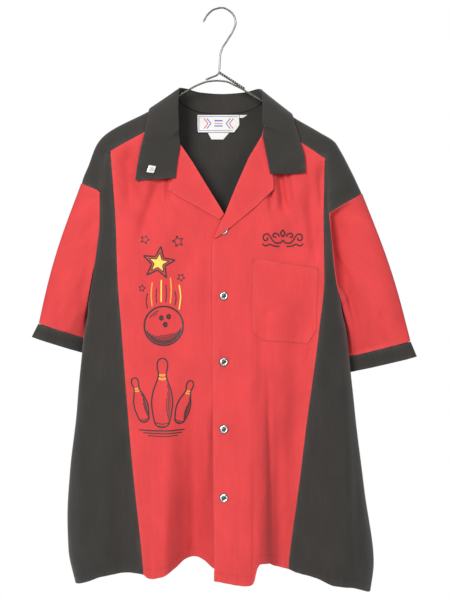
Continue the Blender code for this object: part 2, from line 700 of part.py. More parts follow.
def sleeve(side):
    """A sleeve, ruled from the armhole seam to the cuff and bowed between them, and its cuff band."""
    half = SLEEVE_HALF
    top = armhole_loop(side, half)
    low = opening_loop(side, half, CUFF_DEPTH + 2.5 * GAP, CUFF_FLARE)
    outward = np.array([SIGN[side], 0.0, 0.0])
    place = np.arange(len(top))
    turn = place / len(top) * 2 * math.pi
    outer_share = np.maximum(np.cos(turn), 0.0)[:, None]
    under_share = np.maximum(-np.cos(turn), 0.0)[:, None]
    hidden = np.where(place > half, np.sin(np.pi * (place - half) / half), 0.0)[:, None]
    grid = []
    for part in np.linspace(0, 1, 9):
        bow = math.sin(math.pi * part)
        row = top + (low - top) * part
        row = row + outward * bow * (SLEEVE_TOP_BOW * outer_share + SLEEVE_UNDER_BOW * under_share)
        row = row + np.array([0.0, 1.0, 0.0]) * SLEEVE_BACK_BOW * bow * hidden
        grid.append(row)
    grid = np.array(grid)
    grid[0] += outward * GAP * 1.5
    cuff = np.array([opening_loop(side, half, CUFF_DEPTH * up, CUFF_FLARE * up) for up in (1.0, 0.5, 0.0)])
    for name, rings, material in (("sleeve", grid, "red"), ("cuff", cuff, "black")):
        around = np.gradient(np.concatenate([rings[:, -1:], rings, rings[:, :1]], axis=1), axis=1)[:, 1:-1]
        patch = (rings, normals(rings, around, -SIGN[side]))
        add(f"{name}_{side}", thin_wall([patch], closed=True), material)


def turned(profile, sides, centre, slope=(0.0, 0.0)):
    """A closed ring or boss turned about the line of sight; profile rows are (radius, forward)."""
    points, faces = [], []
    for k in range(sides):
        angle = 2 * math.pi * k / sides
        for radius, forward in profile:
            x, z = radius * math.cos(angle), radius * math.sin(angle)
            back = slope[0] * x + slope[1] * z - forward
            points.append((centre[0] + x, centre[1] + back, centre[2] + z))
    width = len(profile)
    for k in range(sides):
        for p in range(width - 1):
            a, b = k * width + p, (k + 1) % sides * width + p
            faces.append((a, b, b + 1, a + 1))
    faces.append([k * width for k in reversed(range(sides))])
    faces.append([k * width + width - 1 for k in range(sides)])
    return points, faces


def snaps():
    """Ring snaps: a domed ring with a sunk centre, tilted like the cloth that it is set in."""
    profile = (  # radius, forward
        (SNAP_RADIUS, 0.0),
        (SNAP_RADIUS, 0.6 * SNAP_RISE),
        (0.8 * SNAP_RADIUS, SNAP_RISE),
        (SNAP_HOLE + 0.6, SNAP_RISE),
        (SNAP_HOLE, 0.4 * SNAP_RISE),
    )
    for k in range(SNAP_COUNT):
        z = SNAP_TOP - SNAP_STEP * k
        offset = np.array([-SNAP_RADIUS, 0.0, SNAP_RADIUS])
        near = face_y(SNAP_X + offset[:, None], z + offset, "right")
        slope_x = float(near[2, 1] - near[0, 1]) / (2 * SNAP_RADIUS)
        slope_z = float(near[1, 2] - near[1, 0]) / (2 * SNAP_RADIUS)
        y = float(np.min(near - slope_x * offset[:, None] - slope_z * offset)) - SNAP_LIFT
        add(f"snap_{k + 1}", turned(profile, 20, (SNAP_X, y, z), (slope_x, slope_z)), "metal")


def tag(name, rows, face, lift, thickness, material, columns=4):
    """A flat piece between two edges that lies on a panel."""
    table = np.array(rows, float)
    grid = []
    for z, x_left, x_right in table:
        x = np.linspace(x_left, x_right, columns + 1)
        y = face_y(x, z, face)
        grid.append(np.stack([x, y + lift, np.full_like(x, z)], axis=1))
    grid = np.array(grid)
    add(name, thin_wall([(grid, normals(grid))], thickness), material)


def tube(name, route, diameter, samples, sides=8):
    """A length of bent wire with closed ends, along a smooth line through the route's points."""
    line = np.array(route, float)
    length = np.concatenate([[0], np.cumsum(np.linalg.norm(np.diff(line, axis=0), axis=1))])
    at = np.linspace(0, length[-1], samples)
    path = np.stack([curve(list(zip(length, line[:, k])))(at) for k in range(3)], axis=1)
    wire = bpy.data.curves.new(name, "CURVE")
    wire.dimensions = "3D"
    spline = wire.splines.new("POLY")
    spline.points.add(len(path) - 1)
    for point, place in zip(spline.points, path):
        point.co = (*(place * MM), 1.0)
    wire.bevel_depth = diameter / 2 * MM
    wire.bevel_resolution = (sides - 4) // 2
    wire.use_fill_caps = True
    wire.materials.append(materials["metal"])
    bpy.context.scene.collection.objects.link(bpy.data.objects.new(name, wire))


def hanger():
    """Shoulder wire, hook wire with its short leg, and the leg that is wound round it."""
    tube("hanger_arms", [(x, 0, z) for x, z in ARMS], WIRE, 60)
    tube("hanger_hook", [(x, 0, z) for x, z in HOOK], WIRE, 64)
    (x0, z0), (x1, z1) = TWIST_ENDS
    turns = np.linspace(0, 1, 14 * TWIST_TURNS + 1)
    run = np.array([x1 - x0, z1 - z0])
    along = run / np.linalg.norm(run)
    angle = 2 * math.pi * TWIST_TURNS * turns
    off = TWIST_RADIUS * np.sin(angle)
    route = [
        (x0 + run[0] * t - along[1] * o, TWIST_RADIUS * math.cos(a), z0 + run[1] * t + along[0] * o)
        for t, a, o in zip(turns, angle, off)
    ]
    tube("hanger_twist", route, WIRE * 0.8, len(route), 6)


for old in list(bpy.data.objects):
    bpy.data.objects.remove(old, do_unlink=True)
materials = make_materials()
for name in SIGN:
    front_panel(name)
    side_panel(name)
    sleeve(name)
    lapel(name)
back_panel()
yoke()
collar()
pocket()
snaps()
tag("label_main", LABEL, "back", -LABEL_LIFT, LABEL_THICK, "white", 6)
tag("label_size", LABEL_SIZE, "back", -LABEL_LIFT, LABEL_THICK, "white", 2)
tag("label_care", LABEL_CARE, "back", -LABEL_LIFT, LABEL_THICK, "white")
tag("collar_pin", PIN, "left", -LEAF_LIFT - PIN_THICK - GAP, PIN_THICK, "white", 2)
hanger()
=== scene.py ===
"""Looks of a short-sleeved bowling shirt that hangs, snapped shut, on a thin wire hanger.

Tables and functions work in millimetres and the meshes are made in metres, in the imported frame: the origin is
the underside of the top of the hanger's hook, +X is to the viewer's right, the front of the shirt faces -Y and
+Z is up. "left" and "right" are the viewer's. The cloth's shape comes from a copy of the solids' tables, read
more finely, with creases, folded edges and seams added. The right front's rows of WAVE and HEM aren't the
solids': its big fold is softer and lies further right, as in the photo.
"""

import math

import bpy
import numpy as np
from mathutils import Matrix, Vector


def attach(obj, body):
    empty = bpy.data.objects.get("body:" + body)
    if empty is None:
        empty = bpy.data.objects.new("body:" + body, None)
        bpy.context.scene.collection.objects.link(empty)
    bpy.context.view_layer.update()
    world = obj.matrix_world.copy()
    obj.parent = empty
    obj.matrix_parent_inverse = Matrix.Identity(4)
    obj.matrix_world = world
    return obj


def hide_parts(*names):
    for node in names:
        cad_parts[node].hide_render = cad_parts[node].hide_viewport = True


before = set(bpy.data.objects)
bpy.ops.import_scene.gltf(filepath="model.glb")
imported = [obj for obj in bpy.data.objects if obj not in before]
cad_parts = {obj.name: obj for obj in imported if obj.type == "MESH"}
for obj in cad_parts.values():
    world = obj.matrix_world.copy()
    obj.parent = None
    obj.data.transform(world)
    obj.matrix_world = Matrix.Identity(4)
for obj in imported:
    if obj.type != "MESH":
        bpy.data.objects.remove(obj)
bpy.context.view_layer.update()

MM = 0.001

# Driving dimensions of the solids
HEM_HEIGHT = -945.0
V_POINT = -350.0
EDGE_TOP = -398.0
HEM_REACH = 210.0
FOLDS_TOP = {"left": -650.0, "right": -560.0, "back": -600.0}
CLOTH = 1.5
GAP = 0.3
UNDERLAP = (-45.0, 30.0)
UNDERLAP_DEPTH = CLOTH + 1.0
LEAF_LIFT = 5.4
LAPEL_LIFT = 2.4
SNAP_BUMP = 3.4
SNAP_BUMP_REACH = 14.0
SIDE_TIP = 4.0
CUFF_DEPTH = 25.0
WIRE = 3.2
SNAP_RADIUS = 6.6
SNAP_COUNT = 5
SNAP_TOP = -374.0
SNAP_STEP = 108.7
SNAP_X = 3.0
SIGN = {"left": -1.0, "right": 1.0}

# Outline of the shirt seen from the front, down each side.
SIDE = {  # z, x
    "left": (
        (-100, 0), (-143.5, -78), (-171, -121), (-207, -190), (-218, -203), (-231, -212), (-262, -224),
        (-293, -236), (-307, -238), (-355, -233), (-409, -228), (-456, -227), (-506, -226), (-550, -233),
        (-580, -236), (-641, -242), (-680, -245), (-777, -256), (-842, -260), (-892, -258), (-945, -246),
    ),
    "right": (
        (-100, 0), (-148, 74), (-180, 117), (-208, 165), (-224, 190), (-233, 196), (-270, 216),
        (-310, 235), (-326, 234), (-371, 219), (-414, 209), (-456, 204), (-498, 201), (-540, 209),
        (-612, 217), (-658, 222), (-697, 226), (-804, 240), (-900, 255), (-945, 249),
    ),
}
SHOULDER_POINTS = {"left": 9, "right": 8}  # how many of these rows lie on the top of the shoulder

# Depth of the body at each height.
BODY_COLUMNS = ("z", "side", "front", "back", "edge")
BODY = (
    (-100, 2, 24, 30, 45),
    (-181, 2, 22, 28, 45),
    (-220, 2, 19, 21, 40),
    (-307, 4, 20, 20, 42),
    (-498, 6, 32, 24, 60),
    (-660, 6, 44, 34, 90),
    (-826, 4, 56, 44, 115),
    (-963, 0, 62, 50, 125),
)

# Folds at the hem: how far out each face stands there beyond the plain section.
WAVE = {  # x, out
    "left": (
        (-246, 0), (-191, 0), (-153, -8), (-128, -4), (-110, 4), (-96, 2), (-76, -16), (-60, -31),
        (-46, -36), (-30, -33), (-13, -26), (26, -16),
    ),
    "right": (
        (-12, 18), (5, 20), (30, 22), (43, 21.3), (50, 19.6), (57, 16.5), (64.5, 12), (71.5, 4.6), (78, -6.9),
        (84.5, -18.8), (91, -27), (97.5, -30.5), (109, -33), (122, -35), (136, -33), (158, -22), (181, -10),
        (212, -1), (249, 0),
    ),
    "back": (
        (-246, 0), (-190, -4), (-140, -16), (-85, 6), (-30, 12), (30, -10), (85, -14), (140, 8),
        (195, 0), (249, 0),
    ),
}
HEM = {  # x, z
    "left": (
        (-246, -963), (-227, -955), (-191, -939), (-153, -933), (-128, -935), (-119, -940), (-100, -938),
        (-76, -927), (-60, -917), (-46, -914.5), (-30, -919), (-13, -931), (26, -935),
    ),
    "right": (
        (-12, -939), (43, -946), (51, -943), (54, -931), (57.5, -919), (62, -914), (76, -917), (87, -926),
        (111, -935), (124, -941), (158, -948), (181, -957), (212, -961), (249, -977),
    ),
    "back": (
        (-246, -963), (-190, -938), (-100, -925), (0, -923), (100, -928), (180, -950), (249, -977),
    ),
}

# Seams and free edges of the fronts, down the shirt.
PANEL_SEAM = {  # z, x
    "left": (
        (-241, -186), (-275, -183), (-315, -180), (-357, -177), (-456, -173), (-539, -166), (-735, -149),
        (-935, -128),
    ),
    "right": (
        (-254, 172), (-270, 170.5), (-307, 170), (-357, 169), (-456, 170), (-539, 161), (-661, 145),
        (-795, 128), (-931, 111),
    ),
}
FRONT_EDGE = {  # z, x
    "left": ((-184, -77.5), (-206, -75), (-230, -70), (-350, 5), (-375, 18), (-398, 22), (-945, 26)),
    "right": ((-197, 70), (-214, 67), (-350, 5), (-390, -15), (-398, -17), (-595, -16), (-945, -12)),
}
ARMHOLE = {  # z, x
    "left": ((-308, -202), (-356, -203), (-409, -209), (-456, -217), (-500, -226)),
    "right": ((-344, 178), (-399, 183), (-456, 190), (-498, 201)),
}

# The yoke from each armhole to the neck, and the neck.
YOKE = {  # front_x, front_z, ridge_x, back_x, back_z
    "left": (
        (-202, -308, -236, -202, -308),
        (-201, -281, -226, -191, -303),
        (-197, -257, -214, -180, -296),
        (-186, -241, -203, -166, -289),
        (-129, -210, -128, -125, -277),
        (-77, -182, -79, -79, -270),
    ),
    "right": (
        (178, -344, 235, 178, -344),
        (177, -306, 224, 177, -325),
        (175, -273, 207, 174, -304),
        (172, -254, 190, 168, -290),
        (131, -227, 128, 125, -277),
        (72, -195, 75, 75, -270),
    ),
}
NECK = (  # x, neck_z, back_z
    (-79, -144, -270), (-66, -157, -269), (-40, -168, -268), (0, -172, -268), (40, -168, -268),
    (62, -159, -269), (75, -149, -270),
)

# The collar, from the end of one leaf round the neck to the other.
COLLAR = (  # seam_x, seam_z, seam_lift, roll_x, roll_z, roll_y, edge_x, edge_z, face
    (-77.0, -287, LEAF_LIFT, -110, -289, None, -144, -291, "front"),
    (-73.5, -258, LEAF_LIFT, -106, -258, None, -139, -257, "front"),
    (-69.5, -231, LEAF_LIFT, -101, -229, None, -132, -226, "front"),
    (-72.5, -207, 0.5, -71, -206, -26, -127, -205, "front"),
    (-75.0, -180, 0.5, -72.5, -168, -22, -124, -186, "front"),
    (-76.5, -143.5, 0.0, -70.5, -133, -2, -121, -167, "ridge"),
    (-65.5, -157, 0.0, -60, -131, 15, -102, -181, "back"),
    (-40.0, -168, 0.0, -38, -135, 25, -60, -191, "back"),
    (0.0, -172, 0.0, 0, -137, 29, 0, -193, "back"),
    (40.0, -168, 0.0, 38, -135, 25, 60, -191, "back"),
    (61.5, -159, 0.0, 58, -132, 15, 100, -185, "back"),
    (73.0, -148.5, 0.0, 66, -136, -2, 117, -176, "ridge"),
    (71.0, -178, 0.5, 67, -168, -22, 121, -196, "front"),
    (69.5, -196, 0.5, 66, -195, -26, 126, -211, "front"),
    (68.0, -216, LEAF_LIFT, 99, -219, None, 130, -227, "front"),
    (73.5, -247, LEAF_LIFT, 105, -248, None, 137, -252, "front"),
    (80.0, -280, LEAF_LIFT, 110, -280, None, 139, -278, "front"),
)

LAPEL = {  # fold_x, fold_z, outer_x, outer_z
    "left": (
        (-69, -231, -82, -288), (-58, -247, -88, -295), (-48, -262, -89, -307), (-31, -290, -66, -321),
        (-14, -318, -36, -337), (3.5, -347, -4, -355),
    ),
    "right": (
        (67, -215, 84, -281), (56, -234, 86, -292), (45, -252, 86, -306), (24, -300, 55, -335),
        (4, -350, 22, -362), (-13, -387, -9, -386),
    ),
}
POCKET = (  # z_left, x_left, z_right, x_right
    (-419, 50, -435, 160), (-470, 50, -480, 158), (-541, 50, -541, 156), (-556, 66, -562, 142),
)
SLEEVE = {  # outer_x, outer_z, slope, width, seen, half_depth, outer_y, turn
    "left": (-320, -552, 18.5, 146, 0.60, 16, 6, 44),
    "right": (327, -583, 14.5, 160, 0.64, 16, 6, 44),
}
SLEEVE_TOP_BOW = 7.0
SLEEVE_UNDER_BOW = 4.0
SLEEVE_BACK_BOW = 17.0
CUFF_FLARE = 3.0
BACK_CREASE = 4.0  # most that a crease moves a sleeve's hidden side
CUFF_DROP = {"left": 0.6, "right": 2.8}  # how much lower the folded cloth hangs than the solid

ARMS = (  # x, z
    (-197, -222), (-180, -211), (-120, -179), (-95, -161.5), (-78, -149.5), (-57, -137), (-40, -128),
    (-24, -122.5), (-8, -121), (7, -122.5), (20, -128), (33, -134.5), (47, -143), (68, -155), (100, -176),
    (150, -206), (184, -227),
)
HOOK = (  # x, z
    (-31.5, -22), (-23.5, -9.5), (-12, -0.8), (0, 1.6), (12, -3.2), (21, -14), (23, -24), (20, -34),
    (8.5, -54), (0, -68), (-3, -79), (-4, -96), (-4.8, -106), (-7.5, -110.8), (-16, -114.8), (-27.5, -119.4),
)
TWIST_TURNS = 6
STRAND = 1.15  # radius of each of the two twisted strands, and how far each lies from their middle
TWIST_ENDS = ((-4.2, -107.4), (38.0, -134.6))
WIRE_POINTS = 160
WIRE_SIDES = 20
WIRE_END = 0.8  # share of its radius at a cut end
TURN_POINTS = 30
STRAND_SIDES = 12

# Rows of a flat piece: z, x_left, x_right.
LABEL = ((-173, -42, 29), (-191, -42, 29.5), (-203.5, -41, 20.5))
LABEL_SIZE = ((-173, 30, 43), (-178, 30, 36))
LABEL_CARE = ((-204.3, -24, 12), (-216, -18, 2))
LABEL_LIFT = 1.9
PIN = ((-265.0, -121.5, -107.5), (-279.5, -126.5, -112.5))
LABEL_THICK = 0.5
CHAIN_RADIUS = 1.25
CHAIN_PITCH = 2.4
LABEL_CURL = 1.2  # how far its lower edge stands off the cloth
WOVEN_RISE = 0.12  # how far the bars woven into it stand out
BAR_POINTS = 12
WEAVE_SCALE = 1256.0  # of the wave textures that draw the threads
HEM_STITCH = 14.8  # height of the stitches above the hem
YOKE_STITCH = 2.2  # from the yoke's back seam to the stitches above it
COLLAR_STITCH = 5.0  # from the edge of the collar to its stitches

# Camera, in metres: level, in front of the shirt.
CAMERA_PLACE = (0.00504, -1.6, -0.4894)
CAMERA_HALF_HEIGHT = 0.504  # half the height that the picture takes in at the plane of the hanger

# Fine cloth
STEP = 4.0  # distance between grid lines
THIN = 0.6  # one layer of cloth
HEM_ROLL = 0.9  # radius of a folded edge
SEAM_ROLL = 0.8  # radius where a panel turns in at its seam
SEAM_DEPTH = 2.4  # how deep it turns in
SEAM_MEET = 0.12  # how far the turned edges of two panels press into each other
SEAM_TRIM = SEAM_ROLL - SEAM_MEET  # from a seam to where its panel starts to turn in
FOLD_LINES = 3  # grid lines that a front's free edge runs back behind
DENSE_LINE = 240  # points of a line before its grid points are read from it
PANEL_COLUMNS = {"front": 58, "facing": 16, "side": 26, "back": 118}
UPPER_BACK_ROWS = 22
FRONT_TOP_DROP = 5.0  # from the yoke's corner at the neck to the first row of a front
OUTLINE_FADE = 22.0  # from the outline, over which creases die out
BACK_SHIFT = 37.0  # so that the back's swells aren't the front's
RIM_ROUND = 0.28  # share of a sheet's thickness that its rim is drawn in on each face
WEAR_REACH = 4.0  # how far from an edge the cloth is worn
FACING = 58.0  # width of the facing inside the front edge
FACING_LINE = 47.0  # where its edge shows through the right front
FACING_LINE_TOP = -440.0
FACING_STEP = 1.3
BACK_STRETCH = 60.0  # width of the back that gives way where its armhole edge meets the yoke
YOKE_COLUMNS = (7, 7, 7, 18, 15)  # grid columns between the rows of its table
YOKE_LINES = (14, 26)  # even grid lines in front of the shoulder line and behind it
NECK_COLUMNS = 44
SLEEVE_HALF = 42
SLEEVE_ROWS = 60
COLLAR_COLUMNS = 170
COLLAR_ROWS = 26
STAND_ROWS = 10  # of those rows, how many lie below the collar's roll
FALL_START = 5.0  # below its roll, over which the collar comes away from its own route
LEAF_CLEAR = 3.2  # least space between the collar and the creased cloth under it
LAPEL_CLEAR = 2.2
# the dark stitches on the mouth's edge paint the shadow of the pocket's open mouth
MOUTH_EDGE = 0.008  # how far down the pocket the stitches on its mouth's edge lie
POCKET_ROLL = 0.6  # radius of its folded edges
POCKET_SEWN = 1.25  # from the front's face to the pocket's, where it is sewn down
FORWARD = (0.0, -1.0, 0.0)
BACKWARD = (0.0, 1.0, 0.0)
OVER_NECK = (0.0, 0.5, 1.0)  # out of the collar where it goes round the back of the neck
FACING_DEPTH = 1.1  # how far it lies behind the face of the front
FACING_TRIM = 4.2  # from the front edge to the facing's
FACING_THIN = 0.5
FACING_ENDS = (-6.0, 18.0)  # its upper end from the V's point, and its lower end from the hem
COLLAR_THICK = 1.3
HEM_ROWS = (20.0, 17.2, 16.0, 14.8, 11.0, 7.5, 4.5, 2.4, 0.9)  # heights of the last rows above the hem
HEM_LINES = 6  # of those rows, how many the turned-up hem covers

# Creases of the cloth as seen from the front, or for "back" from behind with the same x: a line from one
# end to the other that bows sideways at its middle, and how far the cloth stands out along it.
CREASES = {  # x0, z0, x1, z1, bow, width, height, sharp
    "left": (
        (-156, -226, -150, -345, 2, 12, -9.0, 1.9),
        (-128, -240, -122, -330, 2, 9, 1.8, 2.0),
        (-90, -262, -138, -400, 5, 9, -6.5, 1.9),
        (-76, -300, -110, -430, -6, 12, 3.0, 2.0),
        (-94, -246, -89, -338, 1, 3.4, -5.0, 1.8),
        (-150, -330, -122, -560, 8, 15, 2.4, 2.0),
        (-60, -360, -104, -640, -10, 17, -2.2, 2.0),
        (-28, -352, -46, -520, -4, 10, 1.8, 2.0),
        (-150, -560, -116, -900, 7, 14, -2.6, 2.0),
        (-83, -560, -80, -1140, 1, 13, 4.5, 2.2),
        (-48, -560, -44, -1140, 0, 12, -5.5, 2.0),
        (-26, -560, -24, -900, 1, 7, 2.4, 2.0),
        (-214, -470, -196, -820, 9, 15, -2.8, 2.0),
        (-236, -610, -222, -940, 6, 12, 2.2, 2.0),
        (-190, -360, -178, -520, 3, 8, -2.0, 2.0),
        (-206, -360, -214, -470, -3, 6, 1.8, 1.8),
        (-187, -700, -196, -950, -5, 10, 2.4, 2.0),
        (-170, -175, -196, -262, -5, 9, -2.4, 2.0),
        (-150, -190, -178, -238, 3, 7, 1.6, 2.0),
        (-202, -226, -197, -304, -2, 3.2, -2.6, 1.6),
        (-130, -420, -60, -470, 4, 9, -1.0, 2.0),
        (-140, -600, -70, -560, -4, 10, 0.9, 2.0),
    ),
    "right": (
        (68, -236, 84, -352, -2, 4.5, -7.5, 1.8),
        (88, -232, 106, -356, -2, 7, -13.0, 1.9),
        (106, -240, 116, -338, 0, 3.6, -6.0, 1.8),
        (86, -292, 132, -412, -5, 9, -3.0, 1.8),
        (118, -286, 140, -440, -4, 9, 2.2, 2.0),
        (146, -272, 162, -450, 3, 9, -5.6, 1.9),
        (60, -300, 92, -436, -4, 10, 2.6, 2.0),
        (50, -470, 54, -800, 0, 15, 5.0, 2.0),
        (74, -570, 82, -1000, -1, 4.5, -4.0, 1.8),
        (62, -470, 60, -700, -2, 9, -1.8, 2.0),
        (138, -430, 132, -800, 3, 24, -11.0, 2.6),
        (100, -660, 103, -860, -2, 6, 1.2, 1.8),
        (76, -490, 75, -560, 1, 4.0, -2.2, 1.7),
        (155, -536, 139, -600, -2, 4.5, -2.2, 1.7),
        (146, -420, 120, -560, 5, 14, 1.6, 2.0),
        (24, -420, 34, -640, 3, 12, 1.6, 2.0),
        (30, -660, 22, -940, -3, 10, -2.0, 2.0),
        (165, -258, 168, -350, 1, 7.0, -7.0, 1.8),
        (150, -212, 172, -262, -3, 8, -2.2, 2.0),
        (183, -352, 186, -470, 2, 5, 1.8, 1.8),
        (186, -500, 176, -800, 6, 14, -2.8, 2.0),
        (202, -560, 206, -900, -5, 11, 2.6, 2.0),
        (232, -660, 230, -960, 5, 10, -2.6, 2.0),
        (152, -640, 138, -930, -4, 9, -2.2, 2.0),
        (60, -520, 130, -470, 5, 9, -0.9, 2.0),
    ),
    "back": (
        (-168, -300, -120, -470, 7, 12, -2.6, 1.8),
        (150, -300, 100, -480, -8, 12, -2.4, 1.8),
        (-185, -330, -150, -560, 8, 14, 2.0, 2.0),
        (165, -340, 140, -560, -8, 13, 2.2, 2.0),
        (-60, -290, -40, -560, 6, 18, -1.8, 2.0),
        (48, -290, 30, -600, -6, 18, -1.6, 2.0),
        (-110, -500, -138, -930, 8, 13, -3.0, 1.8),
        (-84, -560, -90, -930, -5, 12, 2.6, 2.0),
        (0, -420, -6, -800, 5, 20, 1.6, 2.0),
        (88, -540, 92, -925, 5, 12, -3.2, 1.8),
        (132, -560, 142, -930, -6, 12, 2.6, 2.0),
        (-200, -560, -214, -930, -6, 12, -2.4, 2.0),
        (190, -560, 206, -930, 6, 12, -2.2, 2.0),
        (30, -640, 44, -930, 3, 9, 2.2, 1.8),
        (-30, -700, -44, -930, -3, 8, -2.2, 1.8),
        (-150, -230, -176, -286, -4, 8, -1.8, 2.0),
        (140, -232, 164, -286, 4, 8, -1.8, 2.0),
    ),
}
# Creases of the sleeves' fronts.
SLEEVE_CREASES = {  # x0, z0, x1, z1, bow, width, height, sharp
    "left": (
        (-212, -300, -236, -500, -5, 8, -2.4, 1.8),
        (-226, -292, -262, -470, -6, 10, 2.0, 2.0),
        (-206, -312, -240, -340, 2, 4.5, -2.0, 1.6),
        (-206, -350, -240, -400, 3, 5, -1.6, 1.7),
        (-250, -330, -296, -520, -5, 11, -1.8, 2.0),
        (-236, -500, -262, -560, 3, 8, 1.8, 2.0),
        (-270, -480, -276, -552, 2, 7, -1.6, 2.0),
        (-208, -420, -232, -520, 3, 4.0, 1.6, 1.6),
    ),
    "right": (
        (173, -280, 227, -660, 0, 16, -16.0, 2.2),
        (185, -280, 240, -660, 0, 34, -12.0, 2.0),
        (200, -326, 232, -356, 3, 5, -2.8, 1.8),
        (210, -318, 252, -352, 3, 5, 2.2, 1.8),
        (228, -330, 258, -560, -6, 12, 1.5, 2.0),
        (236, -360, 276, -540, 6, 10, -2.4, 1.9),
        (267, -500, 272, -574, 2, 6, -2.8, 1.7),
        (250, -520, 252, -580, 1, 6, 1.8, 2.0),
        (290, -440, 306, -560, -4, 10, -1.8, 2.0),
    ),
}


def curve(rows, over=0, value=1):
    """A smooth function through two columns of a table; it never swings past the values it goes through."""
    table = np.array(sorted((row[over], row[value]) for row in rows), float)
    at, height = table[:, 0], table[:, 1]
    step = np.diff(at)
    slope = np.diff(height) / step
    tangent = np.concatenate([slope[:1], np.zeros(len(at) - 2), slope[-1:]])
    for k in range(1, len(at) - 1):
        if slope[k - 1] * slope[k] > 0:
            before = 2 * step[k] + step[k - 1]
            after = step[k] + 2 * step[k - 1]
            tangent[k] = (before + after) / (before / slope[k - 1] + after / slope[k])

    def read(x):
        x = np.clip(x, at[0], at[-1])
        k = np.clip(np.searchsorted(at, x) - 1, 0, len(step) - 1)
        t = (x - at[k]) / step[k]
        return (
            (1 + 2 * t) * (1 - t) ** 2 * height[k]
            + t * (1 - t) ** 2 * step[k] * tangent[k]
            + t * t * (3 - 2 * t) * height[k + 1]
            + t * t * (t - 1) * step[k] * tangent[k + 1]
        )

    return read


def ease(t):
    t = np.clip(t, 0.0, 1.0)
    return t * t * (3 - 2 * t)


def rounded(t):
    """A quarter of a circle: 0 at the outline, level by t = 1."""
    return np.sqrt(1 - (1 - np.clip(t, 0.0, 1.0)) ** 2)


side_line = {side: curve(SIDE[side]) for side in SIDE}
ridge_line = {side: curve(SIDE[side][: SHOULDER_POINTS[side]], over=1, value=0) for side in SIDE}
body = {name: curve(BODY, value=BODY_COLUMNS.index(name)) for name in BODY_COLUMNS[1:]}
wave = {face: curve(WAVE[face]) for face in WAVE}
hem = {face: curve(HEM[face]) for face in HEM}
panel_seam = {side: curve(PANEL_SEAM[side]) for side in PANEL_SEAM}
armhole = {side: curve(ARMHOLE[side]) for side in ARMHOLE}


def from_outline(x, z, side):
    """Distance from the shirt's outline on one side, as for a straight edge through the nearest points."""
    across = np.maximum(SIGN[side] * (side_line[side](z) - x), 0.0)
    down = np.maximum(ridge_line[side](x) - z, 0.0)
    return across * down / np.maximum(np.hypot(across, down), 1e-9)


def creases(x, z, rows):
    """Sum of a table's creases at each point."""
    total = np.zeros(np.broadcast(x, z).shape)
    for x0, z0, x1, z1, bow, width, height, sharp in rows:
        run_x, run_z = x1 - x0, z1 - z0
        length = math.hypot(run_x, run_z)
        along = ((x - x0) * run_x + (z - z0) * run_z) / length**2
        part = np.clip(along, 0.0, 1.0)
        off = ((x - x0) * run_z - (z - z0) * run_x) / length - bow * 4 * part * (1 - part)
        fade = ease(along / 0.3) * ease((1 - along) / 0.3)
        total = total + height * fade * np.exp(-((np.abs(off) / width) ** sharp))
    return total


def ripples(x, z):
    """Low irregular swells of hanging cloth, longer down the shirt than across it."""
    swell = np.sin(x / 13.0 + 1.6 * np.sin(z / 93.0)) * np.sin(z / 71.0 + 1.2 * np.sin(x / 57.0))
    drift = np.sin(x / 29.0 - 1.1 * np.sin(z / 131.0) + 0.8)
    small = np.sin(x / 5.1 + 2.1 * np.sin(z / 37.0)) * np.sin(z / 23.0 + 1.7 * np.sin(x / 19.0))
    return 0.45 * swell + 0.55 * drift + 0.14 * small


def puckers(x, z, face):
    """Short ripples where a seam draws the cloth in, and along the hem."""
    low = z - HEM_HEIGHT
    total = 0.55 * np.exp(-((low / 15.0) ** 2)) * np.sin(x / 2.9 + 1.7 * np.sin(x / 23.0))
    if face in panel_seam:
        off = x - panel_seam[face](z)
        total = total + 0.4 * np.exp(-((off / 8.0) ** 2)) * np.sin(z / 2.7 + 1.9 * np.sin(z / 41.0))
        total = total - 0.5 * np.exp(-((off / 4.0) ** 2))
    return total


def snap_dents(x, z):
    """The cloth dips and gathers a little round each snap."""
    total = 0.0
    for k in range(1, SNAP_COUNT):
        away_x, away_z = x - SNAP_X, z - (SNAP_TOP - SNAP_STEP * k)
        away = np.hypot(away_x, away_z)
        turn = np.arctan2(away_z, away_x)
        rays = 0.8 * np.cos(4 * turn + 1.3 * k) + 0.6 * np.cos(2 * turn + 0.9 * k)
        total = total - 1.0 * np.exp(-((away / 9.0) ** 2)) + 0.7 * rays * np.exp(-(((away - 13) / 7.0) ** 2))
    return total


def relief(x, z, face):
    """How far the cloth stands out from its plain form; it dies out towards the outline."""
    shape = creases(x, z, CREASES[face]) + ripples(x + (BACK_SHIFT if face == "back" else 0.0), z)
    shape = shape + puckers(x, z, face)
    if face == "right":
        shape = shape + snap_dents(x, z)
        shape = shape - FACING_STEP * ease((x - FACING_LINE) / 3.0) * ease((FACING_LINE_TOP - z) / 40.0)
    inside = ease(from_outline(x, z, "left") / OUTLINE_FADE) * ease(from_outline(x, z, "right") / OUTLINE_FADE)
    return shape * inside


def plain_y(x, z, face):
    """Depth of the outer face of the cloth in its plain form, as in the solids."""
    full = rounded(from_outline(x, z, "left") / body["edge"](z))
    full = full * rounded(from_outline(x, z, "right") / body["edge"](z))
    top = FOLDS_TOP[face]
    fold = wave[face](x) * ease((top - z) / (top - HEM_HEIGHT))
    if face == "back":
        return body["side"](z) + full * body["back"](z) + fold
    return body["side"](z) - full * body["front"](z) - fold


def face_y(x, z, face, relief_share=1.0):
    """Depth of the outer face of the cloth with its creases: of the left front, the right front or the back."""
    if face == "back":
        return plain_y(x, z, face) + relief_share * relief(x, z, face)
    y = plain_y(x, z, face) - relief_share * relief(x, z, face)
    if face == "left":
        right = face_y(x, z, "right", relief_share)
        under = ease((x - UNDERLAP[0]) / UNDERLAP[1])
        y = y + np.maximum(right + UNDERLAP_DEPTH - y, 0.0) * under
    return y


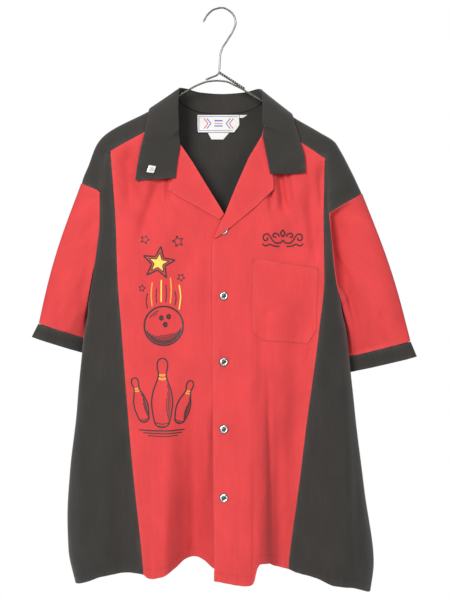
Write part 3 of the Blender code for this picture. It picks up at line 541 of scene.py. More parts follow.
def sunk(x, z, face):
    """Height of a point of the panel once the hem's own rise and fall is added."""
    return z + (hem[face](x) - HEM_HEIGHT) * ease(1 - (z - HEM_HEIGHT) / HEM_REACH)


def unit(vectors):
    return vectors / np.maximum(np.linalg.norm(vectors, axis=-1, keepdims=True), 1e-12)


def normals(grid, outward, closed=False):
    """Unit normals of a grid of points, turned so that they lie on the side of the outward direction."""
    if closed:
        wide = np.concatenate([grid[:, -1:], grid, grid[:, :1]], axis=1)
        along = np.gradient(wide, axis=1)[:, 1:-1]
    else:
        along = np.gradient(grid, axis=1)
    cross = unit(np.cross(np.gradient(grid, axis=0), along))
    middle = grid.shape[0] // 2, grid.shape[1] // (4 if closed else 2)
    return cross if cross[middle] @ np.asarray(outward, float) > 0 else -cross


def arc_length(points):
    """Length from the first point of a line to each of its points."""
    return np.concatenate([[0.0], np.cumsum(np.linalg.norm(np.diff(points, axis=0), axis=1))])


def read_line(points, at, values=None):
    """Points of a line, or values that belong to its points, at the given lengths along it."""
    length = arc_length(points)
    values = points if values is None else values
    return np.stack([np.interp(at, length, values[:, k]) for k in range(values.shape[1])], axis=1)


def smooth_line(points, stations, at):
    """Points read between the given stations by smooth curves, one for each column."""
    return np.stack([curve(list(zip(stations, points[:, k])))(at) for k in range(points.shape[1])], axis=1)


EDGE_LINES = (0.0, 0.9, 2.0, 3.6)  # grid lines close to an edge, so that it can round over


def places(length, count):
    """Lengths along a line of grid points: close together near both ends, and even between."""
    share = min(1.0, length / 24.0)
    near = np.array(EDGE_LINES) * share
    between = np.linspace(near[-1], length - near[-1], count)
    return np.concatenate([near[:-1], between, length - near[:-1][::-1]])


def panel_grid(face, heights, x_from, x_to, count, trim):
    """Rows of cloth down a panel, each from one edge to the other, with its ends trimmed."""
    z = np.array(heights, float)[:, None]
    ends = np.array([(x_from(h), x_to(h)) for h in heights])
    part = (1 - np.cos(np.linspace(0, math.pi, DENSE_LINE))) / 2
    x = ends[:, :1] + (ends[:, 1:] - ends[:, :1]) * part
    y = face_y(x, z, face)
    rows = []
    for k in range(len(z)):
        line = np.stack([x[k], y[k]], axis=1)
        length = arc_length(line)[-1]
        at = trim[0] + places(length - sum(trim), count)
        row = read_line(line, at)
        rows.append(np.stack([row[:, 0], row[:, 1], sunk(row[:, 0], z[k, 0], face)], axis=1))
    return np.array(rows)


def steps(*stops):
    """Heights from stop to stop, at most STEP apart."""
    heights = [stops[0]]
    for start, stop in zip(stops[:-1], stops[1:]):
        count = max(1, math.ceil(abs(stop - start) / STEP))
        heights += list(np.linspace(start, stop, count + 1)[1:])
    return heights


def turn_in(lines, ups, fronts, how, hem_radius):
    """Lines of points and normals that carry the cloth on round the edge that the first line is.

    how is "seam", where the edge turns inwards, or the number of lines that a hem runs back behind. fronts are
    the directions out of the cloth's right side, also where an edge has already been folded behind.
    """
    edge, normal, front = lines[0], ups[0], fronts[0]
    out = edge - lines[1]
    out = unit(out - front * np.sum(out * front, axis=-1, keepdims=True))
    seam = how == "seam"
    radius, turn, count = (SEAM_ROLL, math.pi / 2, 4) if seam else (hem_radius, math.pi, 7)
    extra = []
    for angle in np.linspace(0, turn, count + 1)[1:]:
        place = edge + radius * (math.sin(angle) * out - (1 - math.cos(angle)) * front)
        extra.append((place, math.cos(angle) * normal + math.sin(angle) * out, front))
    if seam:
        extra.append((extra[-1][0] - SEAM_DEPTH * front, out, front))
    else:
        extra += [(lines[k] - 2 * radius * fronts[k], -ups[k], fronts[k]) for k in range(1, how + 1)]
    return extra


def worn(lines, marks):
    """Nearness to an edge, raised by how near each line lies to the first one."""
    away = np.cumsum(np.linalg.norm(np.diff(lines, axis=0), axis=2), axis=0)
    away = np.concatenate([np.zeros_like(away[:1]), away])
    return np.maximum(marks, np.exp(-away / WEAR_REACH))


def finished(grid, normal, left=None, right=None, top=None, bottom=None, hem_radius=HEM_ROLL):
    """A grid with its edges turned in, and how near each point is to one of those edges, from 0 to 1.

    Top is the first row and left the first column; each is None or what turn_in takes.
    """
    near, fronts = np.zeros(grid.shape[:2]), normal
    for how, axis, flip in ((left, 1, False), (right, 1, True), (top, 0, False), (bottom, 0, True)):
        if how is None:
            continue
        items = [np.moveaxis(item, axis, 0) for item in (grid, normal, fronts, near)]
        if flip:
            items = [item[::-1] for item in items]
        lines, ups, outs, marks = items
        marks = worn(lines, marks)
        extra = turn_in(lines, ups, outs, how, hem_radius)[::-1]
        items = [
            np.concatenate([np.array([row[k] for row in extra]), item])
            for k, item in enumerate((lines, ups, outs))
        ]
        items.append(np.concatenate([np.ones((len(extra), marks.shape[1])), marks]))
        if flip:
            items = [item[::-1] for item in items]
        grid, normal, fronts, near = (np.moveaxis(item, 0, axis) for item in items)
    return grid, normal, near


def cloth_length(grid, axis, closed=False):
    """Length of cloth from the middle line of a grid to each point, in metres, along one axis."""
    step = np.linalg.norm(np.diff(grid, axis=axis), axis=2)
    total = np.cumsum(step, axis=axis)
    total = np.concatenate([np.zeros_like(np.take(total, [0], axis=axis)), total], axis=axis)
    return (total - np.take(total, [grid.shape[axis] // 2], axis=axis)) * MM


def shell(name, patches, material, slot, thickness=THIN, closed=False):
    """A closed thin sheet from grids of (points, normals, nearness to an edge).

    Its UV map holds lengths along the cloth.
    """
    points, ups, marks, quads, corners, count = [], [], [], [], [], 0
    for grid, up, near in patches:
        index = np.arange(near.size).reshape(near.shape)
        u, v = cloth_length(grid, 1), cloth_length(grid, 0)
        if closed:
            last = u[:, -1] + np.linalg.norm(grid[:, 0] - grid[:, -1], axis=1) * MM
            index = np.concatenate([index, index[:, :1]], axis=1)
            u, v = np.concatenate([u, last[:, None]], axis=1), np.concatenate([v, v[:, :1]], axis=1)
        rows, columns = index.shape[0] - 1, index.shape[1] - 1
        uv = np.stack([u, v], axis=-1)
        ring = ((0, 0), (0, 1), (1, 1), (1, 0))
        quads.append(np.stack([index[a:a + rows, b:b + columns] for a, b in ring], -1).reshape(-1, 4) + count)
        corners.append(np.stack([uv[a:a + rows, b:b + columns] for a, b in ring], -2).reshape(-1, 4, 2))
        points.append(grid.reshape(-1, 3))
        ups.append(up.reshape(-1, 3))
        marks.append(near.reshape(-1))
        count += near.size
    points, ups, marks, quads, corners = map(np.concatenate, (points, ups, marks, quads, corners))
    _, first, index = np.unique(np.round(points, 3), axis=0, return_index=True, return_inverse=True)
    index = index.reshape(-1)
    total = np.zeros((len(first), 3))
    np.add.at(total, index, ups)
    total = unit(total)
    outer, quads, marks = points[first], index[quads], marks[first]
    middle = quads[len(quads) // 2]
    facing = np.cross(outer[middle[2]] - outer[middle[0]], outer[middle[3]] - outer[middle[1]])
    if facing @ total[middle[0]] < 0:
        quads, corners = quads[:, ::-1], corners[:, ::-1]
    size = len(outer)
    starts, ends = quads, np.roll(quads, -1, axis=1)
    last_corners = np.roll(corners, -1, axis=1)
    free = ~np.isin(ends * size + starts, starts * size + ends)
    a, b = starts[free], ends[free]
    rim = np.stack([b, a, a + size, b + size], axis=1)
    at_a, at_b = corners[free], last_corners[free]
    rim_corners = np.stack([at_b, at_a, at_a, at_b], axis=1)
    trimmed = np.zeros((size, 1))
    trimmed[np.unique(rim[:, :2])] = RIM_ROUND * thickness
    faces = np.concatenate([quads, quads[:, ::-1] + size, rim])
    corners = np.concatenate([corners, corners[:, ::-1], rim_corners])
    points = np.concatenate([outer - total * trimmed, outer - total * (thickness - trimmed)])
    return add_mesh(name, points, faces, material, slot, corners, np.tile(marks, 2))


def add_mesh(name, points, faces, material, slot, corners=None, mark=None, sharp=50.0):
    """A mesh object from points in millimetres; it rides on the shirt and takes the given material; slot is not
    used.
    """
    mesh = bpy.data.meshes.new(name)
    mesh.from_pydata((np.asarray(points) * MM).tolist(), [], [[int(k) for k in face] for face in faces])
    if corners is not None:
        layer = mesh.uv_layers.new(name="cloth")
        layer.data.foreach_set("uv", np.asarray(corners, np.float32).reshape(-1))
    if mark is not None:
        values = mesh.attributes.new("edge", "FLOAT", "POINT")
        values.data.foreach_set("value", np.asarray(mark, np.float32))
    mesh.shade_smooth()
    mesh.set_sharp_from_angle(angle=math.radians(sharp))
    mesh.materials.append(material)
    piece = bpy.data.objects.new(name, mesh)
    bpy.context.scene.collection.objects.link(piece)
    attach(piece, "root")
    return piece


def free_edge(side):
    """Inner edge of a red panel at each height."""
    rows = np.array(sorted(FRONT_EDGE[side]))
    return lambda z: float(np.interp(z, rows[:, 0], rows[:, 1]))


def red_edge(side):
    """Outer edge of a red panel: the yoke seam down to its corner, then the panel seam."""
    corner_z = PANEL_SEAM[side][0][0]
    seam = np.array(sorted((row[1], row[0]) for row in YOKE[side][3:]))

    def x(z):
        if z <= corner_z:
            return float(panel_seam[side](z))
        return float(np.interp(z, seam[:, 0], seam[:, 1]))

    return x


def outer_seam(side):
    """Outer edge of a side panel: yoke seam, armhole seam, side fold."""
    yoke_seam = np.array(sorted((row[1], row[0]) for row in YOKE[side][:4]))
    under = ARMHOLE[side][-1][0]

    def x(z):
        if z >= yoke_seam[0, 0]:
            return float(np.interp(z, yoke_seam[:, 0], yoke_seam[:, 1]))
        if z >= under:
            return float(armhole[side](z))
        return float(side_line[side](z))

    return x


def body_rows(side):
    """Heights of the rows that the panels of one side share, from below the yoke to the hem."""
    corner, yoke_end, under = PANEL_SEAM[side][0][0], ARMHOLE[side][0][0], ARMHOLE[side][-1][0]
    above_hem = HEM_HEIGHT + HEM_ROWS[0]
    rows = steps(corner, yoke_end, V_POINT, EDGE_TOP, under, above_hem)[1:]
    return rows + [HEM_HEIGHT + up for up in HEM_ROWS[1:]]


def in_order(side, outer, inner):
    """What belongs to a panel's outer and inner edge, from left to right as its columns run."""
    return (outer, inner) if side == "left" else (inner, outer)


def front_panel(side):
    """A red front, from the yoke seam and the fold of its lapel to the hem."""
    corner_z = PANEL_SEAM[side][0][0]
    top = YOKE[side][-1][1] - FRONT_TOP_DROP
    heights = steps(top, LAPEL[side][0][1], corner_z) + body_rows(side)
    ends = in_order(side, red_edge(side), free_edge(side))
    trim = in_order(side, SEAM_TRIM, HEM_ROLL)
    edges = dict(zip(("left", "right"), in_order(side, "seam", FOLD_LINES)))
    grid = panel_grid(side, heights, *ends, PANEL_COLUMNS["front"], trim)
    patch = finished(grid, normals(grid, FORWARD), bottom=HEM_LINES, **edges)
    return shell(f"cloth_front_{side}", [patch], materials["red"], "red_cloth")


def facing(side):
    """The facing that lies behind the front edge, from the V down to the hem."""
    inner = free_edge(side)
    heights = steps(V_POINT + FACING_ENDS[0], HEM_HEIGHT + FACING_ENDS[1])
    ends = in_order(side, lambda z: inner(z) + SIGN[side] * FACING, inner)
    trim = in_order(side, 0.0, FACING_TRIM)
    grid = panel_grid(side, heights, *ends, PANEL_COLUMNS["facing"], trim)
    grid[..., 1] += FACING_DEPTH
    patch = finished(grid, normals(grid, FORWARD))
    return shell(f"cloth_facing_{side}", [patch], materials["red"], "red_cloth", FACING_THIN)


def side_panel(side):
    """The black panel between the red front and the side: it narrows to a point below the yoke."""
    ends = in_order(side, outer_seam(side), panel_seam[side])
    tip = PANEL_SEAM[side][0][0] - SIDE_TIP
    heights = [tip] + [z for z in body_rows(side) if z < tip - 1]
    grid = panel_grid(side, heights, *ends, PANEL_COLUMNS["side"], (SEAM_TRIM, SEAM_TRIM))
    patch = finished(grid, normals(grid, FORWARD), left="seam", right="seam", bottom=HEM_LINES)
    return shell(f"cloth_side_{side}", [patch], materials["black"], "black_cloth")


def back_seam():
    """The yoke's back seam as rows of x and z."""
    rows = [(row[3], row[4]) for side in YOKE for row in YOKE[side]]
    return np.array(sorted(rows + [(row[0], row[2]) for row in NECK[1:-1]]))


def back_panel():
    """The back below the yoke, from armhole to armhole and then from side fold to side fold."""
    seam = back_seam()

    def end(side, z):
        under = ARMHOLE[side][-1][0]
        return float(side_line[side](z) if z < under else armhole[side](z))

    low = min(ARMHOLE[side][0][0] for side in ARMHOLE)
    under = ARMHOLE["left"][-1][0]
    heights = steps(low, under, HEM_HEIGHT + HEM_ROWS[0]) + [HEM_HEIGHT + up for up in HEM_ROWS[1:]]
    ends = (lambda z: end("left", z), lambda z: end("right", z))
    grid = panel_grid("back", heights, *ends, PANEL_COLUMNS["back"], (SEAM_TRIM, SEAM_TRIM))
    left = float(armhole["left"](low)) + SEAM_TRIM
    upper = []
    for part in np.linspace(0, 1, UPPER_BACK_ROWS)[:-1]:
        row = grid[0].copy()
        near_armhole = 1 - ease((row[:, 0] - left) / BACK_STRETCH)
        row[:, 0] += (1 - part) * (YOKE["left"][0][0] + SEAM_ROLL - left) * near_armhole
        start = np.interp(row[:, 0], seam[:, 0], seam[:, 1])
        row[:, 2] = start + (low - start) * part
        row[:, 1] = face_y(row[:, 0], row[:, 2], "back")
        upper.append(row)
    grid = np.concatenate([np.array(upper), grid])
    patch = finished(grid, normals(grid, BACKWARD), left="seam", right="seam", bottom=HEM_LINES)
    return shell("cloth_back", [patch], materials["black"], "black_cloth")


def over_shoulder(side, row, face, count):
    """A line of the yoke from its front or back seam up to the shoulder line."""
    ridge_x = row[2]
    ridge_z = float(ridge_line[side](ridge_x))
    x0, z0 = (row[3], row[4]) if face == "back" else (row[0], row[1])
    part = np.sin(np.linspace(0, math.pi / 2, DENSE_LINE))
    x = x0 + (ridge_x - x0) * part
    z = z0 + (ridge_z - z0) * part
    y = face_y(x, z, face)
    y[-1] = body["side"](ridge_z)
    line = np.stack([x, y, z], axis=1)
    trim = 0.0 if face == "back" else SEAM_TRIM
    at = trim + places(arc_length(line)[-1] - trim, count)
    return read_line(line, at)


def yoke():
    """The yoke with its dropped shoulders: a patch in front of each shoulder, and one across the back."""
    fronts, backs = {}, {}
    for side in YOKE:
        table = np.array(YOKE[side], float)
        at = np.concatenate([[0], np.cumsum(YOKE_COLUMNS)])
        stations = np.arange(at[-1] + 1)
        rows = np.stack([np.interp(stations, at, table[:, k]) for k in range(table.shape[1])], axis=1)
        for face, kept in ((side, fronts), ("back", backs)):
            lines = [over_shoulder(side, row, face, YOKE_LINES[face == "back"]) for row in rows]
            lines = lines if side == "left" else lines[::-1]
            kept[side] = np.array(lines).transpose(1, 0, 2)
    table = np.array(NECK, float)
    x = np.linspace(table[0, 0], table[-1, 0], NECK_COLUMNS)[1:-1]
    neck_z, low_z = curve(NECK)(x), np.interp(x, table[:, 0], table[:, 2])
    below_neck = []
    for k, place in enumerate(x):
        z = np.linspace(low_z[k], neck_z[k], 60)
        line = np.stack([np.full_like(z, place), face_y(place, z, "back"), z], axis=1)
        at = places(arc_length(line)[-1], YOKE_LINES[1])
        below_neck.append(read_line(line, at))
    back = np.concatenate([backs["left"], np.array(below_neck).transpose(1, 0, 2), backs["right"]], axis=1)
    back_up = normals(back, BACKWARD)
    patches = []
    for side, front in fronts.items():
        front_up = normals(front, FORWARD)
        count = front.shape[1]
        shared = slice(0, count) if side == "left" else slice(back.shape[1] - count, None)
        along_ridge = unit(front_up[-1] + back_up[-1, shared])
        front_up[-1] = along_ridge
        back_up[-1, shared] = along_ridge
        ends = {"left": "seam"} if side == "left" else {"right": "seam"}
        patches.append(finished(front, front_up, top="seam", **ends))
    patches.append(finished(back, back_up, left="seam", right="seam"))
    return shell("cloth_yoke", patches, materials["black"], "black_cloth")


def armhole_loop(side, half):
    """The armhole seam as a closed loop: from the top down the front, and up the back again."""
    top_x = YOKE[side][0][2]
    top_z = float(ridge_line[side](top_x))
    end_z, under_z = ARMHOLE[side][0][0], ARMHOLE[side][-1][0]
    lines = []
    for face in (side, "back"):
        part = np.sin(np.linspace(0, math.pi / 2, 100))
        x = YOKE[side][0][0] + (top_x - YOKE[side][0][0]) * part
        z = end_z + (top_z - end_z) * part
        cap = np.stack([x, face_y(x, z, face), z], axis=1)[::-1]
        cap[0, 1] = body["side"](top_z)
        z = np.linspace(end_z, under_z, 200)
        x = armhole[side](z)
        seam = np.stack([x, face_y(x, z, face), z], axis=1)
        seam[-1, 1] = body["side"](under_z)
        line = np.concatenate([cap, seam[1:]])
        lines.append(read_line(line, np.linspace(0, arc_length(line)[-1], half + 1)))
    return np.concatenate([lines[0], lines[1][::-1][1:-1]])


def opening_loop(side, half, up, flare):
    """The sleeve's opening, or a ring of it further up: a flattened loop whose inner part lies back."""
    outer_x, outer_z, slope, width, seen, half_depth, outer_y, turn = SLEEVE[side]
    tilt = math.radians(slope)
    inward = np.array([-SIGN[side] * math.cos(tilt), 0.0, -math.sin(tilt)])
    upward = np.array([-SIGN[side] * math.sin(tilt), 0.0, math.cos(tilt)])
    meets = math.acos(1 - 2 * seen)
    angles = np.concatenate(
        [np.linspace(0, meets, half + 1), np.linspace(meets, 2 * math.pi, half + 1)[1:-1]]
    )
    across = (1 - np.cos(angles)) / 2
    depth = -half_depth * np.sign(np.sin(angles)) * np.abs(np.sin(angles)) ** 0.8
    start = np.array([outer_x, 0.0, outer_z])
    loop = start + np.outer(across * (width - 2 * flare) + flare, inward) + upward * up
    loop[:, 1] += outer_y + turn * ease(across) + depth
    return loop


def sleeve(side):
    """A sleeve, ruled from the armhole seam to the cuff and bowed between them."""
    half = SLEEVE_HALF
    top = armhole_loop(side, half)
    low = opening_loop(side, half, CUFF_DEPTH + 2.5 * GAP, CUFF_FLARE)
    outward = np.array([SIGN[side], 0.0, 0.0])
    place = np.arange(len(top))
    turn = place / len(top) * 2 * math.pi
    outer_share = np.maximum(np.cos(turn), 0.0)[:, None]
    under_share = np.maximum(-np.cos(turn), 0.0)[:, None]
    hidden = np.where(place > half, np.sin(np.pi * (place - half) / half), 0.0)[:, None]
    length = float(np.linalg.norm(low - top, axis=1).mean())
    parts = (SEAM_ROLL + places(length - 2 * SEAM_ROLL, SLEEVE_ROWS)) / length
    grid = []
    for part in parts:
        bow = math.sin(math.pi * part)
        row = top + (low - top) * part
        row = row + outward * bow * (SLEEVE_TOP_BOW * outer_share + SLEEVE_UNDER_BOW * under_share)
        row = row + np.array([0.0, 1.0, 0.0]) * SLEEVE_BACK_BOW * bow * hidden
        grid.append(row)
    grid = np.array(grid) + outward * (GAP * 1.5 + SEAM_ROLL) * (1 - np.array(parts))[:, None, None] ** 8
    up = normals(grid, FORWARD, closed=True)
    x, z = grid[..., 0], grid[..., 2]
    at_front = np.where(place <= half, np.sin(np.pi * place / half), 0.0) ** 0.6
    at_back = np.where(place > half, np.sin(np.pi * (place - half) / half), 0.0)
    ends = ease(np.array(parts) / 0.025)[:, None] * ease((1 - np.array(parts)) / 0.04)[:, None]
    out = creases(x, z, SLEEVE_CREASES[side]) * at_front
    behind = creases(x + SIGN[side] * 9.0, z - 22.0, SLEEVE_CREASES[side])
    out = out + np.clip(behind, -BACK_CREASE, BACK_CREASE) * at_back
    out = out + (ripples(1.3 * x, z + 60.0) * 0.9) * (at_front + at_back)
    grid = grid + up * (out * ends)[..., None]
    patch = finished(grid, normals(grid, FORWARD, closed=True), top="seam", bottom="seam")
    return shell(f"cloth_sleeve_{side}", [patch], materials["red"], "red_cloth", closed=True)


def cuff(side):
    """The folded band at the end of a sleeve."""
    rings = np.concatenate([[1.0, 0.96, 0.9], np.linspace(0.8, 0.2, 5), [0.1, 0.04]])
    drop = CUFF_DROP[side]
    rings = rings * (CUFF_DEPTH + drop - SEAM_ROLL - HEM_ROLL) + HEM_ROLL - drop
    grid = np.array([opening_loop(side, SLEEVE_HALF, up, CUFF_FLARE * up / CUFF_DEPTH) for up in rings])
    around = np.arange(grid.shape[1])
    wavy = 0.5 * np.sin(around / 2.3 + 1.3 * np.sin(around / 7.0)) + 0.5 * np.sin(around / 5.1 + 1.0)
    up = normals(grid, FORWARD, closed=True)
    grid = grid + up * (wavy * np.linspace(0.3, 1.0, len(rings))[:, None])[..., None]
    patch = finished(grid, normals(grid, FORWARD, closed=True), top="seam", bottom=8)
    return shell(f"cloth_cuff_{side}", [patch], materials["black"], "black_cloth", closed=True)


def on_panel(x, z, face, lift):
    """A point that lies on a panel's plain face, moved out by lift."""
    y = float(plain_face(x, z, face))
    return np.array([x, y + lift if face == "back" else y - lift, z])


def plain_face(x, z, face):
    return face_y(np.asarray(x, float), np.asarray(z, float), face, 0.0)


def off_body(points):
    """Points of the collar's fall, pushed out where they would come nearer to the shoulders than its lift."""
    x, y, z = points.T
    out = points.copy()
    for side in SIGN:
        ridge = ridge_line[side](x)
        middle = body["side"](z)
        low = np.minimum(z, ridge - 0.01)
        mine = ((x < 0) == (side == "left")) & (z <= ridge + LEAF_LIFT)
        front = np.minimum(face_y(x, low, side, 0.0) - LEAF_LIFT, face_y(x, low, side) - LEAF_CLEAR)
        back = np.maximum(face_y(x, low, "back", 0.0) + LEAF_LIFT, face_y(x, low, "back") + LEAF_CLEAR)
        out[:, 1] = np.where(mine & (y < middle), np.minimum(out[:, 1], front), out[:, 1])
        out[:, 1] = np.where(mine & (y > middle), np.maximum(out[:, 1], back), out[:, 1])
    return out


def spread(field, reach=4):
    """A smooth field that is nowhere below the given one."""
    for gather in (np.max, np.mean):
        wide = np.pad(field, reach, mode="edge")
        field = gather(np.lib.stride_tricks.sliding_window_view(wide, (2 * reach + 1,) * 2), axis=(2, 3))
    return field


def collar_line(row):
    """Seam, roll and outer edge of the collar at one place round the neck."""
    seam_x, seam_z, seam_lift, roll_x, roll_z, roll_y, edge_x, edge_z, place = row
    front = "left" if seam_x < 0 else "right"
    if place == "front":
        seam = on_panel(seam_x, seam_z, front, seam_lift)
        edge = on_panel(edge_x, edge_z, front, LEAF_LIFT)
    elif place == "ridge":
        seam = np.array([seam_x, float(body["side"](seam_z)), seam_z + 2 * GAP])
        edge = np.array([edge_x, float(body["side"](edge_z)), edge_z])
    else:
        seam = on_panel(seam_x, seam_z + 2 * GAP, "back", -CLOTH)
        edge = on_panel(edge_x, edge_z, "back", LEAF_LIFT)
    roll = np.array([roll_x, roll_y, roll_z], float)
    if roll_y is None:
        roll = on_panel(roll_x, roll_z, front, LEAF_LIFT)
    return np.concatenate([seam, roll, edge])


def collar_places(roll, total):
    """Lengths of the collar's rows along its route from the neck seam: one of them lies on the roll."""
    near = np.array(EDGE_LINES)
    stand = np.linspace(near[-1], roll, STAND_ROWS)
    fall = np.linspace(roll, total - near[-1], COLLAR_ROWS - STAND_ROWS + 1)[1:]
    return np.concatenate([near[:-1], stand, fall, total - near[:-1][::-1]])


def collar_grid():
    """Points of the collar: rows from the neck seam over the roll to the outer edge, columns round the neck."""
    lines = np.array([collar_line(row) for row in COLLAR], float)
    at = np.arange(len(lines))
    along = np.concatenate([[0.0, 0.03, 0.07], np.linspace(0.12, at[-1] - 0.12, COLLAR_COLUMNS)])
    along = np.concatenate([along, at[-1] - np.array([0.07, 0.03, 0.0])])
    rows, falls = [], []
    for line in smooth_line(lines, at, along):
        seam, roll, edge = line.reshape(3, 3)
        part = np.linalg.norm(roll - seam) / (np.linalg.norm(roll - seam) + np.linalg.norm(edge - roll))
        dense = np.linspace(0, 1, 160)
        route = smooth_line(line.reshape(3, 3), (0, part, 1), dense)
        lengths = arc_length(route)
        to_roll = np.interp(part, dense, lengths)
        at_rows = collar_places(to_roll, lengths[-1])
        rows.append(read_line(route, at_rows))
        falls.append(ease((at_rows - to_roll) / FALL_START))
    grid, fall = np.array(rows).transpose(1, 0, 2), np.array(falls).T
    push = (off_body(grid.reshape(-1, 3)).reshape(grid.shape) - grid)[..., 1]
    push = np.where(fall > 0, push, 0.0)
    grid[..., 1] += (spread(np.maximum(push, 0.0)) - spread(np.maximum(-push, 0.0))) * fall
    return grid


def collar():
    """The collar's stand and fall in one folded sheet, from the end of one leaf round the neck to the other."""
    grid = collar_grid()
    up = normals(grid, OVER_NECK)
    near = worn(grid[::-1], np.zeros(grid.shape[:2]))[::-1]
    near = worn(grid.swapaxes(0, 1), near.T).T
    return shell("cloth_collar", [(grid, up, near)], materials["black"], "black_cloth", COLLAR_THICK)


def lapel_points(side, part, count):
    """One line of a lapel along its length: part is 0 on its fold and 1 on its outer edge."""
    table = np.array(LAPEL[side], float)
    stations = np.linspace(0, 1, count)
    at = np.linspace(0, 1, len(table))
    fold_x, fold_z, outer_x, outer_z = (np.interp(stations, at, table[:, k]) for k in range(4))
    x = fold_x + (outer_x - fold_x) * part
    z = fold_z + (outer_z - fold_z) * part
    away = np.hypot(x - SNAP_X, z - SNAP_TOP) / SNAP_BUMP_REACH
    lift = LAPEL_LIFT + (SNAP_BUMP * np.exp(-away**2) if side == "right" else 0.0)
    roll = 1.6 * np.sin(math.pi * stations) * (1 - part) ** 2
    y = np.minimum(face_y(x, z, side, 0.0) - lift, face_y(x, z, side) - LAPEL_CLEAR) - roll
    return np.stack([x, y, z], axis=1)


def lapel(side):
    """The turned-out facing, from its fold to its outer edge."""
    parts = np.concatenate([[0.012, 0.03, 0.06], np.linspace(0.1, 0.94, 16), [0.97, 0.985]])
    grid = np.array([lapel_points(side, part, 60) for part in parts])
    patch = finished(grid, normals(grid, FORWARD), top=2, bottom=1)
    return shell(f"cloth_lapel_{side}", [patch], materials["red"], "red_cloth")


def pocket_points(across, down):
    """Points of the patch pocket: across from its left edge and down from its mouth, both from 0 to 1."""
    table = np.array(POCKET, float)
    at = np.array([0.0, 0.36, 0.88, 1.0])
    z_left, x_left, z_right, x_right = (np.interp(down, at, table[:, k]) for k in range(4))
    x = x_left + (x_right - x_left) * across
    z = z_left + (z_right - z_left) * across
    loose = np.sin(math.pi * across) * (1.7 * (1 - ease(down / 0.45)) + 0.4 * np.sin(math.pi * down))
    y = face_y(x, z, "right") - POCKET_SEWN - loose
    return np.stack([x, y, z], axis=-1)


def pocket():
    """The patch pocket: sewn down along three sides and open at its mouth."""
    across = np.concatenate([[0.008, 0.02, 0.04], np.linspace(0.07, 0.93, 30), [0.96, 0.98, 0.992]])
    down = np.concatenate(
        [[0.006, 0.015, 0.03], np.linspace(0.05, 0.86, 30), [0.88], np.linspace(0.9, 0.98, 5), [0.994]]
    )
    grid = pocket_points(across[None, :], down[:, None])
    patch = finished(grid, normals(grid, FORWARD), left=1, right=1, top=4, bottom=1, hem_radius=POCKET_ROLL)
    return shell("cloth_pocket", [patch], materials["red"], "red_cloth")


def tag_y(x, z, across, down, curl):
    """Depth of a label inside the back of the neck; its lower edge curls off the cloth, most at its ends."""
    y = face_y(x, z, "back", 0.0) - LABEL_LIFT
    return y - curl * down**2 * (1 - 0.6 * np.sin(math.pi * across))


def tag(name, rows, columns=16, lines=10, curl=0.0):
    """A flat label between two edges that lies inside the back of the neck."""
    table = np.array(rows, float)
    z = np.linspace(table[0, 0], table[-1, 0], lines)
    x_left = np.interp(-z, -table[:, 0], table[:, 1])
    x_right = np.interp(-z, -table[:, 0], table[:, 2])
    part = np.linspace(0, 1, columns)
    x = x_left[:, None] + (x_right - x_left)[:, None] * part
    y = tag_y(x, z[:, None], part, np.linspace(0, 1, lines)[:, None], curl)
    grid = np.stack([x, y, np.broadcast_to(z[:, None], x.shape)], axis=-1)
    patch = (grid, normals(grid, FORWARD), np.zeros(grid.shape[:2]))
    return shell(name, [patch], materials["label"], "label_cloth", LABEL_THICK)


def joined(parts):
    """Several (points, faces) as one."""
    points, faces, count = [], [], 0
    for some, quads in parts:
        points.append(np.asarray(some, float))
        faces += [[k + count for k in face] for face in quads]
        count += len(some)
    return np.concatenate(points), faces


def tube(route, radius, sides, taper=None):
    """A closed tube along a line of points; taper scales its radius along it."""
    route = np.asarray(route, float)
    along = unit(np.gradient(route, axis=0))
    side = np.cross(along[0], (0.0, 1.0, 0.01))
    points = []
    scale = np.ones(len(route)) if taper is None else np.asarray(taper, float)
    for place, direction, share in zip(route, along, scale):
        side = unit(side - direction * (side @ direction))
        other = np.cross(direction, side)
        for k in range(sides):
            angle = 2 * math.pi * k / sides
            points.append(place + radius * share * (math.cos(angle) * side + math.sin(angle) * other))
    faces = []
    for r in range(len(route) - 1):
        for k in range(sides):
            a, b = r * sides + k, r * sides + (k + 1) % sides
            faces.append((a, b, b + sides, a + sides))
    faces.append(tuple(reversed(range(sides))))
    faces.append(tuple((len(route) - 1) * sides + k for k in range(sides)))
    return points, faces


STITCHES = {  # pitch, length, radius of the thread
    "hem": (3.0, 2.1, 0.24),
    "collar": (2.6, 1.9, 0.2),
    "yoke": (2.8, 2.0, 0.24),
    "pocket": (2.4, 2.0, 0.2),
    # the mouth's stitches are thicker and in dark thread: they paint the shadow of the pocket's open mouth
    "mouth": (2.4, 2.0, 0.26),
}


def stitches(name, lines, thread, slot, kind):
    """Rows of stitches along lines of (points, outward directions): short threads that dip into the cloth."""
    pitch, length, radius = STITCHES[kind]
    parts = []
    for points, ups in lines:
        total = arc_length(points)[-1]
        for start in np.arange(0.5, total - length, pitch):
            at = start + np.linspace(0, length, 4)
            place, up = read_line(points, at), unit(read_line(points, at, ups))
            route = place + up * (radius * np.array([-1.4, 0.45, 0.45, -1.4]))[:, None]
            parts.append(tube(route, radius, 5, (0.6, 1.0, 1.0, 0.6)))
    return add_mesh(name, *joined(parts), materials[thread], slot)


def face_line(x, z, face, out=0.0):
    """A line on a panel's creased face, with its outward directions."""
    x, z = np.broadcast_arrays(np.asarray(x, float), np.asarray(z, float))
    sign = 1.0 if face == "back" else -1.0
    y = face_y(x, z, face)
    slope_x = (face_y(x + 0.5, z, face) - face_y(x - 0.5, z, face)) * -sign
    slope_z = (face_y(x, z + 0.5, face) - face_y(x, z - 0.5, face)) * -sign
    up = unit(np.stack([slope_x, np.full(x.shape, sign), slope_z], axis=-1))
    return np.stack([x, y, z], axis=-1) + up * out, up


